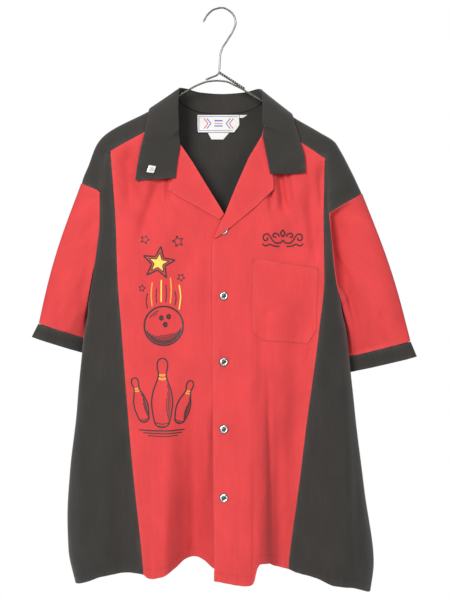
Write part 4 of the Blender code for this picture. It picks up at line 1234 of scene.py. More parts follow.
def hem_stitches():
    """The line of stitches that holds the hem, all round the shirt; on the red fronts its dark thread is partly
    painted shade of the stitch line's groove.
    """
    level = HEM_HEIGHT + HEM_STITCH
    red, black = [], []
    for side in SIGN:
        seam, outer = float(panel_seam[side](level)), float(side_line[side](level))
        for store, start, stop in ((red, free_edge(side)(level), seam), (black, seam, outer)):
            inset = 2 * np.sign(start - stop)
            x = np.linspace(start - inset, stop + inset, 120)
            points, up = face_line(x, np.full_like(x, level), side)
            points[:, 2] = sunk(x, level, side)
            store.append((points, up))
    x = np.linspace(float(side_line["left"](level)) + 4, float(side_line["right"](level)) - 4, 300)
    points, up = face_line(x, np.full_like(x, level), "back")
    points[:, 2] = sunk(x, level, "back")
    black.append((points, up))
    # On the red fronts the dark thread is partly painted shade: it stands in for the shade in the stitch line's
    # groove.
    stitches("stitch_hem_red", red, "dark_thread_shade", "red_cloth", "hem")
    stitches("stitch_hem_black", black, "black_thread", "black_cloth", "hem")


def grid_line(grid, up, along_rows, away):
    """A line across a grid at a distance from its last row (or, with away below 0, from its first)."""
    lines = np.moveaxis(grid, 0 if along_rows else 1, 0)
    ups = np.moveaxis(up, 0 if along_rows else 1, 0)
    if away > 0:
        lines, ups = lines[::-1], ups[::-1]
    columns, at = range(lines.shape[1]), [abs(away)]
    points = np.array([read_line(lines[:, k], at)[0] for k in columns])
    return points, unit(np.array([read_line(lines[:, k], at, ups[:, k])[0] for k in columns]))


def collar_stitches():
    """Topstitching along the collar's leaves and fall."""
    grid = collar_grid()
    up = normals(grid, OVER_NECK)
    lines = [grid_line(grid, up, True, COLLAR_STITCH)]
    fall = slice(grid.shape[0] // 2, None)
    for away in (-COLLAR_STITCH, COLLAR_STITCH):
        points, outs = grid_line(grid, up, False, away)
        lines.append((points[fall], outs[fall]))
    stitches("stitch_collar", lines, "black_thread", "black_cloth", "collar")


def yoke_stitches():
    """Topstitching just above the seam between the yoke and the back."""
    seam = back_seam()
    x = np.linspace(seam[0, 0] + 4, seam[-1, 0] - 4, 260)
    line = face_line(x, np.interp(x, seam[:, 0], seam[:, 1]) + YOKE_STITCH, "back")
    stitches("stitch_yoke", [line], "black_thread", "black_cloth", "yoke")


def pocket_stitches():
    """Stitches round the pocket and across the hem of its mouth, and dark stitches along the mouth's edge,
    doubled on its right half, that paint the shadow of the open mouth.
    """
    margin_across, margin_down, mouth, count = 0.018, 0.014, 0.16, 80
    part = np.linspace(0, 1, count)
    inside = margin_across + (1 - 2 * margin_across) * part
    level = np.ones(count)
    routes = (
        (margin_across * level, 0.01 + 0.97 * part),
        (inside, (1 - margin_down) * level),
        ((1 - margin_across) * level, 0.01 + 0.97 * part),
        (inside, mouth * level),
    )
    # Dark stitches at the mouth's edge, with a second row on its right half, paint the shadow of the gaping
    # mouth.
    edge = [(inside, MOUTH_EDGE * level), (0.42 + 0.56 * part, 2.2 * MOUTH_EDGE * level)]
    for corner in (margin_across, 1 - margin_across):
        for side_step in (-0.012, 0.0, 0.012):
            edge.append(((corner + side_step * (0.5 - corner) * 2) * level, 0.004 + 0.075 * part))
    for name, rows, thread, kind in (
        ("stitch_pocket", routes, "red_thread", "pocket"),
        ("stitch_pocket_mouth_shade", edge, "dark_thread_shade", "mouth"),
    ):
        lines = [(pocket_points(across, down), np.tile(FORWARD, (count, 1))) for across, down in rows]
        stitches(name, lines, thread, "red_cloth", kind)


def lathe(profile, centre, slopes, sides=48, closed=False):
    """A solid turned about the line of sight and tilted like the cloth; profile rows are (radius, forward)."""
    points, faces, width = [], [], len(profile)
    for k in range(sides):
        angle = 2 * math.pi * k / sides
        for radius, forward in profile:
            x, z = radius * math.cos(angle), radius * math.sin(angle)
            back = slopes[0] * x + slopes[1] * z - forward
            points.append((centre[0] + x, centre[1] + back, centre[2] + z))
    around = width if closed else width - 1
    for k in range(sides):
        for p in range(around):
            a, b, q = k * width, (k + 1) % sides * width, (p + 1) % width
            faces.append((a + p, b + p, b + q, a + q))
    if not closed:
        faces.append([k * width for k in reversed(range(sides))])
        faces.append([k * width + width - 1 for k in range(sides)])
    return points, faces


SNAP_RING = (  # radius, forward: the bright ring, over its own flange
    (6.1, 0.05), (6.5, 0.2), (6.55, 0.55), (6.25, 0.95), (5.75, 1.45), (5.1, 1.75), (4.4, 1.75), (3.8, 1.5),
    (3.45, 1.1), (3.4, 0.5), (3.5, 0.05),
)
# The flange's dark colour is partly a real rim, partly painted contact shadow round the ring.
SNAP_FLANGE = ((0.6, 0.0), (7.2, 0.0), (7.5, 0.12), (7.4, 0.3), (6.3, 0.38), (0.6, 0.38))
# The core's dark colour is partly its own, partly painted shade of the ring's hollow.
SNAP_CORE = (
    (0.2, 0.36), (3.3, 0.36), (3.35, 0.6), (2.6, 0.72), (1.5, 0.66), (1.3, 0.8), (0.8, 1.0), (0.2, 1.05),
)


def snaps():
    """Ring snaps through the right front: a dark flange, partly real rim and partly painted contact shadow
    round the ring, the bright domed ring, and a dark centre with its post, partly dark metal and partly painted
    shade of the hollow.
    """
    for k in range(SNAP_COUNT):
        z = SNAP_TOP - SNAP_STEP * k
        near = np.array([-SNAP_RADIUS, 0.0, SNAP_RADIUS])
        depth = face_y(SNAP_X + near[:, None], z + near, "right")
        slopes = (
            float(depth[2, 1] - depth[0, 1]) / (2 * SNAP_RADIUS),
            float(depth[1, 2] - depth[1, 0]) / (2 * SNAP_RADIUS),
        )
        y = float(np.min(depth - slopes[0] * near[:, None] - slopes[1] * near)) - 0.1
        centre = (SNAP_X, y, z)
        shape = lathe(SNAP_RING, centre, slopes, closed=True)
        ring = add_mesh(f"snap_ring_{k + 1}", *shape, materials["bright_metal"], "snap_metal", sharp=70)
        # flange and core take the dark metal: painted contact shadow round the ring and painted shade in its
        # hollow
        for part, profile in (("flange", SNAP_FLANGE), ("core", SNAP_CORE)):
            shape = lathe(profile, centre, slopes)
            add_mesh(f"snap_{part}_{k + 1}", *shape, materials["dark_metal_and_snap_shade"], "snap_metal")
        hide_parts(f"snap_{k + 1}")


def hanger():
    """The hanger's wires, smoother than their solids."""
    for name, table in (("arms", ARMS), ("hook", HOOK)):
        line = np.array([(x, 0.0, z) for x, z in table], float)
        length = arc_length(line)
        route = smooth_line(line, length, np.linspace(0, length[-1], WIRE_POINTS))
        taper = np.ones(WIRE_POINTS)
        taper[[0, -1]] = WIRE_END
        shape = tube(route, WIRE / 2, WIRE_SIDES, taper)
        wire = add_mesh(f"wire_{name}", *shape, materials["steel_wire"], "hanger_wire")
        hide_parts(f"hanger_{name}")
    (x0, z0), (x1, z1) = TWIST_ENDS
    turns = np.linspace(0, 1, TURN_POINTS * TWIST_TURNS + 1)
    run_x, run_z = x1 - x0, z1 - z0
    length = math.hypot(run_x, run_z)
    strands = []
    for start in (0.0, math.pi):
        angle = 2 * math.pi * TWIST_TURNS * turns + start
        off = STRAND * np.sin(angle)
        x = x0 + run_x * turns - off * run_z / length
        z = z0 + run_z * turns + off * run_x / length
        strands.append(tube(np.stack([x, STRAND * np.cos(angle), z], axis=1), STRAND, STRAND_SIDES))
    wire = add_mesh("wire_twist", *joined(strands), materials["steel_wire"], "hanger_wire")
    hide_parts("hanger_twist")


def ribbon(points, ups, width, thick=0.14):
    """A flat band along a line: printed ink or a woven stripe that lies on the cloth."""
    along = unit(np.gradient(points, axis=0))
    side = unit(np.cross(along, ups)) * (np.asarray(width, float) / 2).reshape(-1, 1)
    rise = ups * thick
    corners = np.stack([points - side, points + side, points + side + rise, points - side + rise], axis=1)
    faces = []
    for k in range(len(points) - 1):
        a = 4 * k
        for c in range(4):
            d = (c + 1) % 4
            faces.append((a + c, a + 4 + c, a + 4 + d, a + d))
    faces.append((0, 1, 2, 3))
    last = 4 * (len(points) - 1)
    faces.append((last + 3, last + 2, last + 1, last))
    return corners.reshape(-1, 3), faces


def drawn(line, place, pitch=1.5):
    """A drawing's line, smooth through its points, put on the left front at even steps."""
    line = np.array(line, float)
    length = arc_length(line)
    at = np.linspace(0, length[-1], max(4, int(length[-1] / pitch)))
    x, z = (smooth_line(line, length, at) if len(line) > 2 else read_line(line, at)).T
    return face_line(place[0] + x, place[1] + z, "left", 0.05)


def circle(x, z, radius, start=0.0, stop=360.0, squash=1.0):
    angles = np.radians(np.linspace(start, stop, 40))
    return np.stack([x + radius * np.cos(angles), z + radius * squash * np.sin(angles)], axis=1)


def turned_line(line, degrees, x, z, mirror=1.0, size=1.0):
    """A drawing's line, scaled, turned about its own zero and moved."""
    line = np.array(line, float) * size
    line[:, 0] *= mirror
    c, s = math.cos(math.radians(degrees)), math.sin(math.radians(degrees))
    return np.stack([x + line[:, 0] * c - line[:, 1] * s, z + line[:, 0] * s + line[:, 1] * c], axis=1)


def plate(points, ups, thick=0.14):
    """A thin closed plate on a grid of points: filled print or a woven block."""
    rows, columns = points.shape[:2]
    low, high = points.reshape(-1, 3), (points + ups * thick).reshape(-1, 3)
    size, faces = rows * columns, []
    for r in range(rows - 1):
        for c in range(columns - 1):
            a = r * columns + c
            quad = (a, a + 1, a + columns + 1, a + columns)
            faces.append(tuple(k + size for k in quad))
            faces.append(quad[::-1])
    rim = [(0, c) for c in range(columns)] + [(r, columns - 1) for r in range(1, rows)]
    rim += [(rows - 1, c) for c in range(columns - 2, -1, -1)] + [(r, 0) for r in range(rows - 2, 0, -1)]
    rim = [r * columns + c for r, c in rim]
    faces += [(a, b, b + size, a + size) for a, b in zip(rim, rim[1:] + rim[:1])]
    return np.concatenate([low, high]), faces


PIN_SIDE = (  # x, z of a tenpin's right side, from its foot up to the top of its head
    (8, 0), (11, 4), (15.5, 22), (17.3, 38), (15, 56), (9.8, 71), (6.9, 80), (6.4, 86), (8.2, 94), (8.6, 101),
    (6, 108), (0, 111),
)
PIN_BANDS = (78.0, 84.0)
PIN_HATCHES = ((0.76, 10, 68), (0.60, 16, 56), (0.44, 24, 46))  # share of the half width, from, up to


def tenpin(x, z, size, tilt):
    """Lines of one pin: its outline, its foot, two coloured bands and the hatching down one side."""
    right = np.array(PIN_SIDE, float)
    place = (tilt, x, z, 1.0, size)
    black = [(turned_line(right, *place), 1.9), (turned_line(right * (-1, 1), *place), 1.9)]
    black.append((turned_line(((-8, 0), (0, -1.5), (8, 0)), *place), 2.2))
    black.append((turned_line(((-12.5, 6), (0, 3.5), (12.5, 6)), *place), 1.2))
    width = curve([(height, half) for half, height in PIN_SIDE])
    bands = []
    for height in PIN_BANDS:
        half = float(width(height)) - 1
        band = ((-half, height), (0, height - 1.6), (half, height))
        bands.append((turned_line(band, *place), 2.6 * size + 0.5))
    for share, low, high in PIN_HATCHES:
        heights = np.linspace(low, high, 10)
        black.append((turned_line(np.stack([share * width(heights), heights], axis=1), *place), 1.1))
    return black, bands


def star(x, z, radius, turn):
    """Outline of a five-pointed star."""
    angles = np.radians(turn + 36.0 * np.arange(11))
    reach = np.where(np.arange(11) % 2 == 0, radius, 0.42 * radius)
    return np.stack([x + reach * np.sin(angles), z + reach * np.cos(angles)], axis=1)


def star_lines(x, z, radius, turn, width):
    """A star's outline as straight strokes."""
    corners = star(x, z, radius, turn)
    return [(corners[k:k + 2], width) for k in range(10)]


MOTIF_PLACE = (-99.0, -544.0)
PRINT_WIDTH = 1.25  # how much wider the ink has run than its lines were drawn
MOTIF_PINS = (  # x, z, size, tilt
    (1.0, -152.0, 1.0, 0.0), (-27.0, -144.0, 0.66, 15.0), (28.0, -146.0, 0.64, -17.0),
)
MOTIF_STARS = (  # x, z, radius, turn, width
    (-6.0, 116.0, 28.0, 8.0, 2.0), (-6.0, 116.0, 17.5, 8.0, 1.3), (26.0, 152.0, 10.0, -14.0, 1.5),
    (-29.0, 155.0, 8.0, 20.0, 1.3), (31.0, 92.0, 7.0, 30.0, 1.3), (-33.0, 74.0, 6.0, 10.0, 1.2),
)
STAR_FILL = 0.93  # size of the yellow fill in the inner star
MOTIF_BALL = (3.0, 12.0, 32.0)  # x, z, radius
MOTIF_HOLES = ((-4.0, 13.0), (8.0, 15.0), (2.5, 2.0))  # x, z from the middle of the ball
BALL_HATCHES = (  # share of the radius, from and to in degrees, width
    (0.90, 196, 352, 1.7), (0.83, 206, 346, 1.5), (0.76, 216, 338, 1.3), (0.68, 228, 330, 1.2),
    (0.60, 240, 322, 1.1), (0.52, 250, 312, 1.0), (0.82, 108, 152, 1.2), (0.72, 114, 140, 1.0),
)
MOTIF_STREAKS = (  # x, low, high, bow, width, colour
    (-24.0, 40.0, 66.0, -2.0, 1.4, "black"), (-16.5, 44.0, 84.0, -1.5, 1.8, "orange"),
    (-9.0, 49.0, 74.0, -1.0, 1.4, "black"), (-1.5, 51.0, 88.0, 0.0, 1.8, "yellow"),
    (6.0, 51.0, 80.0, 1.0, 1.4, "black"), (13.5, 49.0, 92.0, 1.5, 1.8, "orange"),
    (21.0, 45.0, 70.0, 2.0, 1.4, "black"), (28.0, 39.0, 80.0, 2.5, 1.6, "yellow"),
)
MOTIF_GROUND = ((-37.0, 38.0, -158.0, 1.7), (-30.0, 34.0, -162.5, 1.4), (-22.0, 27.0, -167.0, 1.2))


def motif_lines():
    """The drawing as (line, width) rows of each colour: stars over a ball that drops on three pins."""
    lines = {"black": [], "orange": [], "yellow": []}
    for pin in MOTIF_PINS:
        outline, bands = tenpin(*pin)
        lines["black"] += outline
        lines["orange"] += bands
    for one in MOTIF_STARS:
        lines["black"] += star_lines(*one)
    x, z, radius = MOTIF_BALL
    lines["black"].append((circle(x, z, radius), 2.3))
    for share, start, stop, width in BALL_HATCHES:
        lines["black"].append((circle(x, z, share * radius, start, stop), width))
    for hole_x, hole_z in MOTIF_HOLES:
        for size in (3.0, 1.5):
            lines["black"].append((circle(x + hole_x, z + hole_z, size, squash=1.2), 1.7))
    for x, low, high, bow, width, color in MOTIF_STREAKS:
        lines[color].append((np.array(((x, low), (x + bow, (low + high) / 2), (x, high))), width))
    for x0, x1, z, width in MOTIF_GROUND:
        lines["black"].append((np.array(((x0, z), ((x0 + x1) / 2, z - 1.5), (x1, z + 0.5))), width))
    return lines


def motif():
    """The print on the left front."""
    for color, lines in motif_lines().items():
        parts = []
        for line, width in lines:
            points, ups = drawn(line, MOTIF_PLACE)
            taper = np.ones(len(points))
            taper[[0, -1]] = 0.5
            parts.append(ribbon(points, ups, PRINT_WIDTH * width * taper))
        if color == "yellow":
            x, z, radius, turn, _ = MOTIF_STARS[1]
            corners = star(0.0, 0.0, STAR_FILL * radius, turn)
            outline = read_line(corners, np.linspace(0, arc_length(corners)[-1], 61))
            spokes = np.linspace(0.03, 1.0, 7)[:, None, None] * outline + (x, z)
            points, ups = face_line(*np.moveaxis(spokes + MOTIF_PLACE, 2, 0), "left", 0.04)
            parts.append(plate(points, ups, 0.1))
        add_mesh(f"print_{color}", *joined(parts), materials[f"ink_{color}"], "red_cloth")


FLOURISH = (  # x, z from the middle: the right half of the flourish, which its left half mirrors
    (
        (0, -2), (5, -6.5), (11, -7), (17, -2.5), (21, 4), (26, 8.5), (31, 7), (32.5, 1.5), (29.5, -2.5),
        (25.5, -1.5), (25, 2.5),
    ),
    ((6, -12.5), (14, -12), (22, -9), (29, -11.5), (34, -8)),
    ((5.5, 4), (9, 8.5), (13.5, 9.5), (16.5, 6.5), (14.5, 3), (11, 3.5)),
)
FLOURISH_DIAMOND = ((0, 3.5), (4.2, 9.5), (0, 15.5), (-4.2, 9.5), (0, 3.5))
FLOURISH_PLACE = (101.0, -388.0)


def flourish():
    """The chain-stitched flourish above the pocket."""
    parts = []
    routes = [np.array(route, float) * (side, 1) for route in FLOURISH for side in (-1, 1)]
    routes += [np.array(FLOURISH_DIAMOND[k:k + 2], float) for k in range(4)]
    for route in routes:
        line = route + FLOURISH_PLACE
        length = arc_length(line)
        at = np.linspace(0, length[-1], max(8, int(length[-1] / 0.45)))
        x, z = smooth_line(line, length, at).T
        points, _ = face_line(x, z, "right", 0.25)
        taper = 0.7 + 0.3 * np.abs(np.sin(math.pi * at / CHAIN_PITCH))
        taper[[0, -1]] = 0.35
        parts.append(tube(points, CHAIN_RADIUS, 8, taper))
    add_mesh("chain_stitch", *joined(parts), materials["black_thread"], "black_cloth")


LABEL_BARS = (  # x0, z0, x1, z1, width, colour
    (-39.5, -175.6, 26.5, -175.6, 0.9, "blue"), (-39.5, -200.6, 18.5, -200.6, 0.9, "blue"),
    (-39.5, -175.6, -39.5, -200.6, 0.9, "blue"), (-26, -179, -19, -188, 1.6, "blue"),
    (-19, -188, -26, -197, 1.6, "blue"), (-31, -179, -24, -188, 1.6, "red"), (-24, -188, -31, -197, 1.6, "red"),
    (14, -179, 7, -188, 1.6, "blue"), (7, -188, 14, -197, 1.6, "blue"), (19.5, -179, 12.5, -188, 1.6, "red"),
    (12.5, -188, 19, -197, 1.6, "red"), (-13, -183, 1, -183, 2.4, "blue"), (-13, -188, 1, -188, 1.4, "red"),
    (-13, -192.5, 1, -192.5, 2.4, "blue"),
)


def labels():
    """The woven label with its size tab and care tab, and the plain bars woven into it."""
    main = tag("label_woven", LABEL, curl=LABEL_CURL)
    size = tag("label_size_tab", LABEL_SIZE, 6, 5)
    care = tag("label_care_tab", LABEL_CARE, 8, 6)
    for piece, node in ((main, "label_main"), (size, "label_size"), (care, "label_care")):
        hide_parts(node)
    for color in ("blue", "red"):
        parts = []
        for x0, z0, x1, z1, width, which in LABEL_BARS:
            if which == color:
                part = np.linspace(0, 1, BAR_POINTS)
                x, z = x0 + (x1 - x0) * part, z0 + (z1 - z0) * part
                down = (LABEL[0][0] - z) / (LABEL[0][0] - LABEL[-1][0])
                across = np.clip((x - LABEL[0][1]) / (LABEL[0][2] - LABEL[0][1]), 0, 1)
                y = tag_y(x, z, across, down, LABEL_CURL) - WOVEN_RISE
                points = np.stack([x, y, z], axis=1)
                parts.append(ribbon(points, np.tile(FORWARD, (BAR_POINTS, 1)), width, 0.1))
        add_mesh(f"label_{color}", *joined(parts), materials[f"weave_{color}"], "label_cloth")
    return main, size, care


BADGE_RIM = ((1.0, 0.0), (1.0, 0.9), (0.96, 1.25), (0.86, 1.3), (0.83, 1.05))  # share of its size, rise
BADGE_FACE = ((0.82, 1.0), (0.82, 1.3), (0.76, 1.45))
BADGE_RINGS = (3.6, 1.7)  # radii
BADGE_RING = (0.6, 0.12)  # width and thickness of a ring
BADGE_RING_RISE = 1.46


def stepped(corners, middle, base, rings):
    """A closed plate with four corners; rings are (share of its size, rise above its base)."""
    points = [
        (middle[0] + share * (x - middle[0]), base - rise, middle[1] + share * (z - middle[1]))
        for share, rise in rings
        for x, z in corners
    ]
    faces = [(3, 2, 1, 0)]
    for r in range(len(rings) - 1):
        for k in range(4):
            a, b = 4 * r + k, 4 * r + (k + 1) % 4
            faces.append((a, b, b + 4, a + 4))
    faces.append(tuple(4 * (len(rings) - 1) + k for k in range(4)))
    return points, faces


def collar_badge():
    """The enamelled pin on the left leaf: a square with a dark rim and two small rings in its middle."""
    (top_z, top_left, top_right), (low_z, low_left, low_right) = PIN
    corners = np.array(
        ((top_left, top_z), (top_right, top_z - 2.0), (low_right, low_z - 1.0), (low_left, low_z + 1.0))
    )
    middle = corners.mean(axis=0)
    base = float(face_y(middle[0], middle[1], "left", 0.0)) - LEAF_LIFT - GAP
    shape = stepped(corners, middle, base, BADGE_RIM)
    rim = add_mesh("badge_rim", *shape, materials["dark_metal_and_snap_shade"], "pin_enamel", sharp=30)
    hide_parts("collar_pin")
    shape = stepped(corners, middle, base, BADGE_FACE)
    add_mesh("badge_face", *shape, materials["white_enamel"], "pin_enamel", sharp=30)
    width, thick = BADGE_RING
    place = (middle[0], base - BADGE_RING_RISE, middle[1])
    marks = []
    for radius in BADGE_RINGS:
        profile = ((radius, 0.0), (radius, thick), (radius - width, thick), (radius - width, 0.0))
        marks.append(lathe(profile, place, (0.0, 0.0), 24, closed=True))
    add_mesh("badge_mark", *joined(marks), materials["ink_black"], "pin_enamel")


def node(tree, kind, inputs=(), **settings):
    """A shader node with its settings; inputs are (socket, value or the output that feeds it)."""
    made = tree.nodes.new(kind)
    for key, value in settings.items():
        setattr(made, key, value)
    for socket, value in dict(inputs).items():
        if isinstance(value, bpy.types.NodeSocket):
            tree.links.new(value, made.inputs[socket])
        else:
            made.inputs[socket].default_value = value
    return made


def new_material(name, constants):
    """A material with its Principled shader's fixed values set."""
    material = bpy.data.materials.new(name)
    material.use_nodes = True
    shader = material.node_tree.nodes["Principled BSDF"]
    for socket, value in constants.items():
        shader.inputs[socket].default_value = value
    return material, material.node_tree, shader


def stretched(tree, vector, across, down):
    inputs = {0: vector, 1: (across, down, 1.0)}
    return node(tree, "ShaderNodeVectorMath", inputs, operation="MULTIPLY").outputs[0]


def math_node(tree, operation, first, second):
    return node(tree, "ShaderNodeMath", {0: first, 1: second}, operation=operation).outputs[0]


def noise(tree, vector, detail, roughness=0.5):
    inputs = {"Vector": vector, "Scale": 1.0, "Detail": detail, "Roughness": roughness}
    return node(tree, "ShaderNodeTexNoise", inputs).outputs["Fac"]


def in_range(tree, value, low, high, to_low, to_high):
    inputs = {"Value": value, "From Min": low, "From Max": high, "To Min": to_low, "To Max": to_high}
    return node(tree, "ShaderNodeMapRange", inputs).outputs["Result"]


def ramp(tree, factor, stops):
    """A colour ramp through (position, colour) stops."""
    made = node(tree, "ShaderNodeValToRGB", {"Fac": factor})
    elements = made.color_ramp.elements
    elements[0].position, elements[0].color = stops[0][0], (*stops[0][1], 1.0)
    elements[1].position, elements[1].color = stops[-1][0], (*stops[-1][1], 1.0)
    for position, color in stops[1:-1]:
        elements.new(position).color = (*color, 1.0)
    return made.outputs["Color"]


PATCHES, STREAKS = (26.0, 14.0), (240.0, 24.0)  # noise cells per metre, across and down the cloth
WARP, WEFT = (2200.0, 55.0), (55.0, 2200.0)
SHARES = {"patches": 0.50, "streaks": 0.20, "threads": 0.10}  # of each in the colour


def cloth_material(name, deep, base, pale, rubbed_color, wear, rough, sheen, weave):
    """Plain-woven cloth: threads, slubs, wash streaks, soft patches and worn edges."""
    material, tree, shader = new_material(
        name, {"Specular IOR Level": 0.25, "Sheen Weight": sheen, "Sheen Roughness": 0.45}
    )
    uv = node(tree, "ShaderNodeUVMap", uv_map="cloth").outputs["UV"]
    patches = noise(tree, stretched(tree, uv, *PATCHES), 6.0)
    streaks = noise(tree, stretched(tree, uv, *STREAKS), 3.0, 0.6)
    warp = noise(tree, stretched(tree, uv, *WARP), 1.0)
    weft = noise(tree, stretched(tree, uv, *WEFT), 1.0)
    threads = math_node(tree, "ADD", warp, weft)
    blended = math_node(tree, "MULTIPLY", patches, SHARES["patches"])
    for part, share in ((streaks, SHARES["streaks"]), (threads, SHARES["threads"])):
        blended = math_node(tree, "ADD", blended, math_node(tree, "MULTIPLY", part, share))
    color = ramp(tree, blended, ((0.29, deep), (0.45, base), (0.61, pale)))
    edge = node(tree, "ShaderNodeAttribute", attribute_name="edge").outputs["Fac"]
    rubbed = math_node(tree, "MULTIPLY", edge, in_range(tree, streaks, 0.35, 0.65, 0.3 * wear, wear))
    inputs = {"Factor": rubbed, "A": color, "B": (*rubbed_color, 1.0)}
    mixed = node(tree, "ShaderNodeMix", inputs, data_type="RGBA")
    tree.links.new(mixed.outputs[2], shader.inputs["Base Color"])
    tree.links.new(in_range(tree, patches, 0.3, 0.7, rough - 0.06, rough + 0.06), shader.inputs["Roughness"])
    parts = []
    for direction in ("X", "Y"):
        inputs = {"Vector": uv, "Scale": WEAVE_SCALE, "Distortion": 0.0, "Detail": 0.0}
        wave_node = node(tree, "ShaderNodeTexWave", inputs, wave_type="BANDS", bands_direction=direction)
        parts.append(math_node(tree, "SUBTRACT", wave_node.outputs["Fac"], 0.5))
    woven = math_node(tree, "MULTIPLY", *parts)
    height = math_node(tree, "ADD", woven, math_node(tree, "MULTIPLY", threads, 0.5))
    bump = node(tree, "ShaderNodeBump", {"Height": height, "Strength": weave, "Distance": 0.00012})
    tree.links.new(bump.outputs["Normal"], shader.inputs["Normal"])
    return material


def plain_material(name, low, high, scale, rough, bump, constants):
    """A finish whose colour and roughness drift between two values over a noise of the given scale."""
    material, tree, shader = new_material(name, constants)
    place = node(tree, "ShaderNodeTexCoord").outputs["Object"]
    drift = noise(tree, stretched(tree, place, scale, scale), 4.0)
    tree.links.new(ramp(tree, drift, ((0.35, low), (0.65, high))), shader.inputs["Base Color"])
    tree.links.new(in_range(tree, drift, 0.3, 0.7, *rough), shader.inputs["Roughness"])
    if bump:
        fine = noise(tree, stretched(tree, place, 8 * scale, 8 * scale), 3.0)
        bumped = node(tree, "ShaderNodeBump", {"Height": fine, "Strength": bump, "Distance": 0.0002})
        tree.links.new(bumped.outputs["Normal"], shader.inputs["Normal"])
    return material


CLOTHS = {  # deep, base, pale and rubbed colours, wear, roughness, sheen, strength of the weave
    "red": (
        (0.485, 0.0355, 0.0375), (0.550, 0.0425, 0.0445), (0.610, 0.050, 0.052), (0.62, 0.092, 0.088),
        0.25, 0.84, 0.10, 0.5,
    ),
    "black": (
        (0.0200, 0.0179, 0.0158), (0.0258, 0.0231, 0.0205), (0.0335, 0.0301, 0.0268), (0.070, 0.064, 0.057),
        0.45, 0.86, 0.30, 0.6,
    ),
    "label": (
        (0.56, 0.55, 0.52), (0.62, 0.61, 0.585), (0.67, 0.66, 0.635), (0.64, 0.64, 0.62),
        0.0, 0.55, 0.1, 0.3,
    ),
}
FINISHES = {  # low and high colours, noise cells per metre, range of roughness, bump, other shader values
    "red_thread": ((0.46, 0.036, 0.038), (0.53, 0.043, 0.045), 900, (0.6, 0.8), 0.4, {}),
    # dark red thread, darker than the cloth: partly the thread's own colour, partly painted shade, of the hem
    # stitch line's groove and of the pocket's open mouth
    "dark_thread_shade": ((0.12, 0.016, 0.016), (0.19, 0.024, 0.024), 900, (0.6, 0.8), 0.4, {}),
    "black_thread": ((0.007, 0.007, 0.007), (0.020, 0.018, 0.017), 900, (0.5, 0.75), 0.4, {}),
    "ink_black": ((0.006, 0.005, 0.005), (0.018, 0.010, 0.010), 300, (0.5, 0.75), 0.2, {}),
    "ink_orange": ((0.60, 0.22, 0.024), (0.68, 0.285, 0.04), 300, (0.5, 0.7), 0.2, {}),
    "ink_yellow": ((0.66, 0.50, 0.05), (0.72, 0.56, 0.08), 300, (0.5, 0.7), 0.2, {}),
    "weave_blue": ((0.08, 0.10, 0.34), (0.13, 0.16, 0.42), 1500, (0.6, 0.8), 0.4, {}),
    "weave_red": ((0.47, 0.08, 0.095), (0.55, 0.12, 0.13), 1500, (0.6, 0.8), 0.4, {}),
    "bright_metal": ((0.66, 0.66, 0.67), (0.80, 0.80, 0.81), 500, (0.14, 0.30), 0.05, {"Metallic": 1.0}),
    # dark metal: the pin's own dark rim, and on the snaps partly painted shade, the flange's contact shadow and
    # the hollow centre's shade
    "dark_metal_and_snap_shade": ((0.043, 0.040, 0.033), (0.085, 0.078, 0.066), 600, (0.35, 0.55), 0.1, {"Metallic": 0.7}),
    "steel_wire": ((0.17, 0.165, 0.155), (0.24, 0.235, 0.22), 90, (0.24, 0.36), 0.03, {"Metallic": 1.0}),
    "white_enamel": ((0.62, 0.62, 0.61), (0.69, 0.69, 0.68), 400, (0.2, 0.35), 0.0, {"Coat Weight": 0.5}),
    "floor": ((0.66, 0.655, 0.65), (0.70, 0.695, 0.69), 3, (0.7, 0.85), 0.0, {}),
}


def make_materials():
    made = {name: cloth_material(f"{name}_cloth", *row) for name, row in CLOTHS.items()}
    made.update({name: plain_material(name, *row) for name, row in FINISHES.items()})
    return made


def area_light(name, place, target, size, power):
    light = bpy.data.lights.new(name, "AREA")
    light.shape = "SQUARE"
    light.size = size
    light.energy = power
    lamp = bpy.data.objects.new(name, light)
    lamp.location = place
    lamp.rotation_euler = (Vector(target) - Vector(place)).to_track_quat("-Z", "Y").to_euler()
    bpy.context.scene.collection.objects.link(lamp)


LIGHTS = (  # name, place, target, size, power
    ("key", (-1.575, -3.15, 0.75), (0.0, 0.0, -0.45), 1.35, 140.0),
    ("fill", (1.6, -2.2, -0.1), (0.0, 0.0, -0.55), 1.6, 23.0),
    ("above", (0.1, -0.5, 1.3), (0.0, 0.0, -0.3), 1.2, 10.0),
    ("behind", (0.5, 2.4, 0.6), (0.0, 0.0, -0.5), 1.8, 43.0),
)
AMBIENT = 0.25
FLOOR_HEIGHT = -1.75  # metres
FLOOR_REACH = 2.3
FLOOR_SIDES = 96


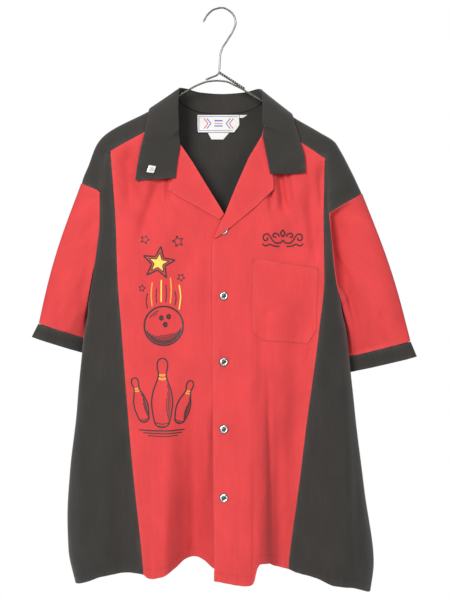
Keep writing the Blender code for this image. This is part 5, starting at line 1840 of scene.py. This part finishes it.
def studio():
    """Camera, lights, white surroundings and a pale floor."""
    camera = bpy.data.cameras.new("camera")
    camera.sensor_width = 36.0
    camera.lens = 18.0 * -CAMERA_PLACE[1] / CAMERA_HALF_HEIGHT
    eye = bpy.data.objects.new("camera", camera)
    eye.location = CAMERA_PLACE
    eye.rotation_euler = (math.pi / 2, 0.0, 0.0)
    bpy.context.scene.collection.objects.link(eye)
    bpy.context.scene.camera = eye
    for row in LIGHTS:
        area_light(*row)
    world = bpy.data.worlds.new("studio")
    bpy.context.scene.world = world
    world.use_nodes = True
    tree = world.node_tree
    tree.nodes.clear()
    dim = node(tree, "ShaderNodeBackground", {"Color": (1, 1, 1, 1), "Strength": AMBIENT})
    white = node(tree, "ShaderNodeBackground", {"Color": (1, 1, 1, 1), "Strength": 1.0})
    seen = node(tree, "ShaderNodeLightPath").outputs["Is Camera Ray"]
    both = node(tree, "ShaderNodeMixShader", {"Fac": seen})
    tree.links.new(dim.outputs[0], both.inputs[1])
    tree.links.new(white.outputs[0], both.inputs[2])
    out = node(tree, "ShaderNodeOutputWorld")
    tree.links.new(both.outputs[0], out.inputs["Surface"])
    bpy.context.scene.view_settings.view_transform = "Standard"
    mesh = bpy.data.meshes.new("floor")
    angles = np.linspace(0, 2 * math.pi, FLOOR_SIDES, endpoint=False)
    corners = [(FLOOR_REACH * math.cos(a), FLOOR_REACH * math.sin(a), FLOOR_HEIGHT) for a in angles]
    mesh.from_pydata(corners, [], [list(range(FLOOR_SIDES))])
    mesh.materials.append(materials["floor"])
    floor = bpy.data.objects.new("floor", mesh)
    bpy.context.scene.collection.objects.link(floor)


materials = make_materials()
studio()
sheets = {}
for name in SIGN:
    sheets[f"front_{name}"] = front_panel(name)
    sheets[f"side_{name}"] = side_panel(name)
    sheets[f"sleeve_{name}"] = sleeve(name)
    sheets[f"cuff_{name}"] = cuff(name)
    sheets[f"lapel_{name}"] = lapel(name)
    sheets[f"facing_{name}"] = facing(name)
sheets["back"] = back_panel()
sheets["yoke"] = yoke()
sheets["collar"] = collar()
sheets["pocket"] = pocket()
hem_stitches()
collar_stitches()
pocket_stitches()
yoke_stitches()
snaps()
hanger()
label_pieces = labels()
collar_badge()
motif()
flourish()
for name, piece in sheets.items():
    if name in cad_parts:
        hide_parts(name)
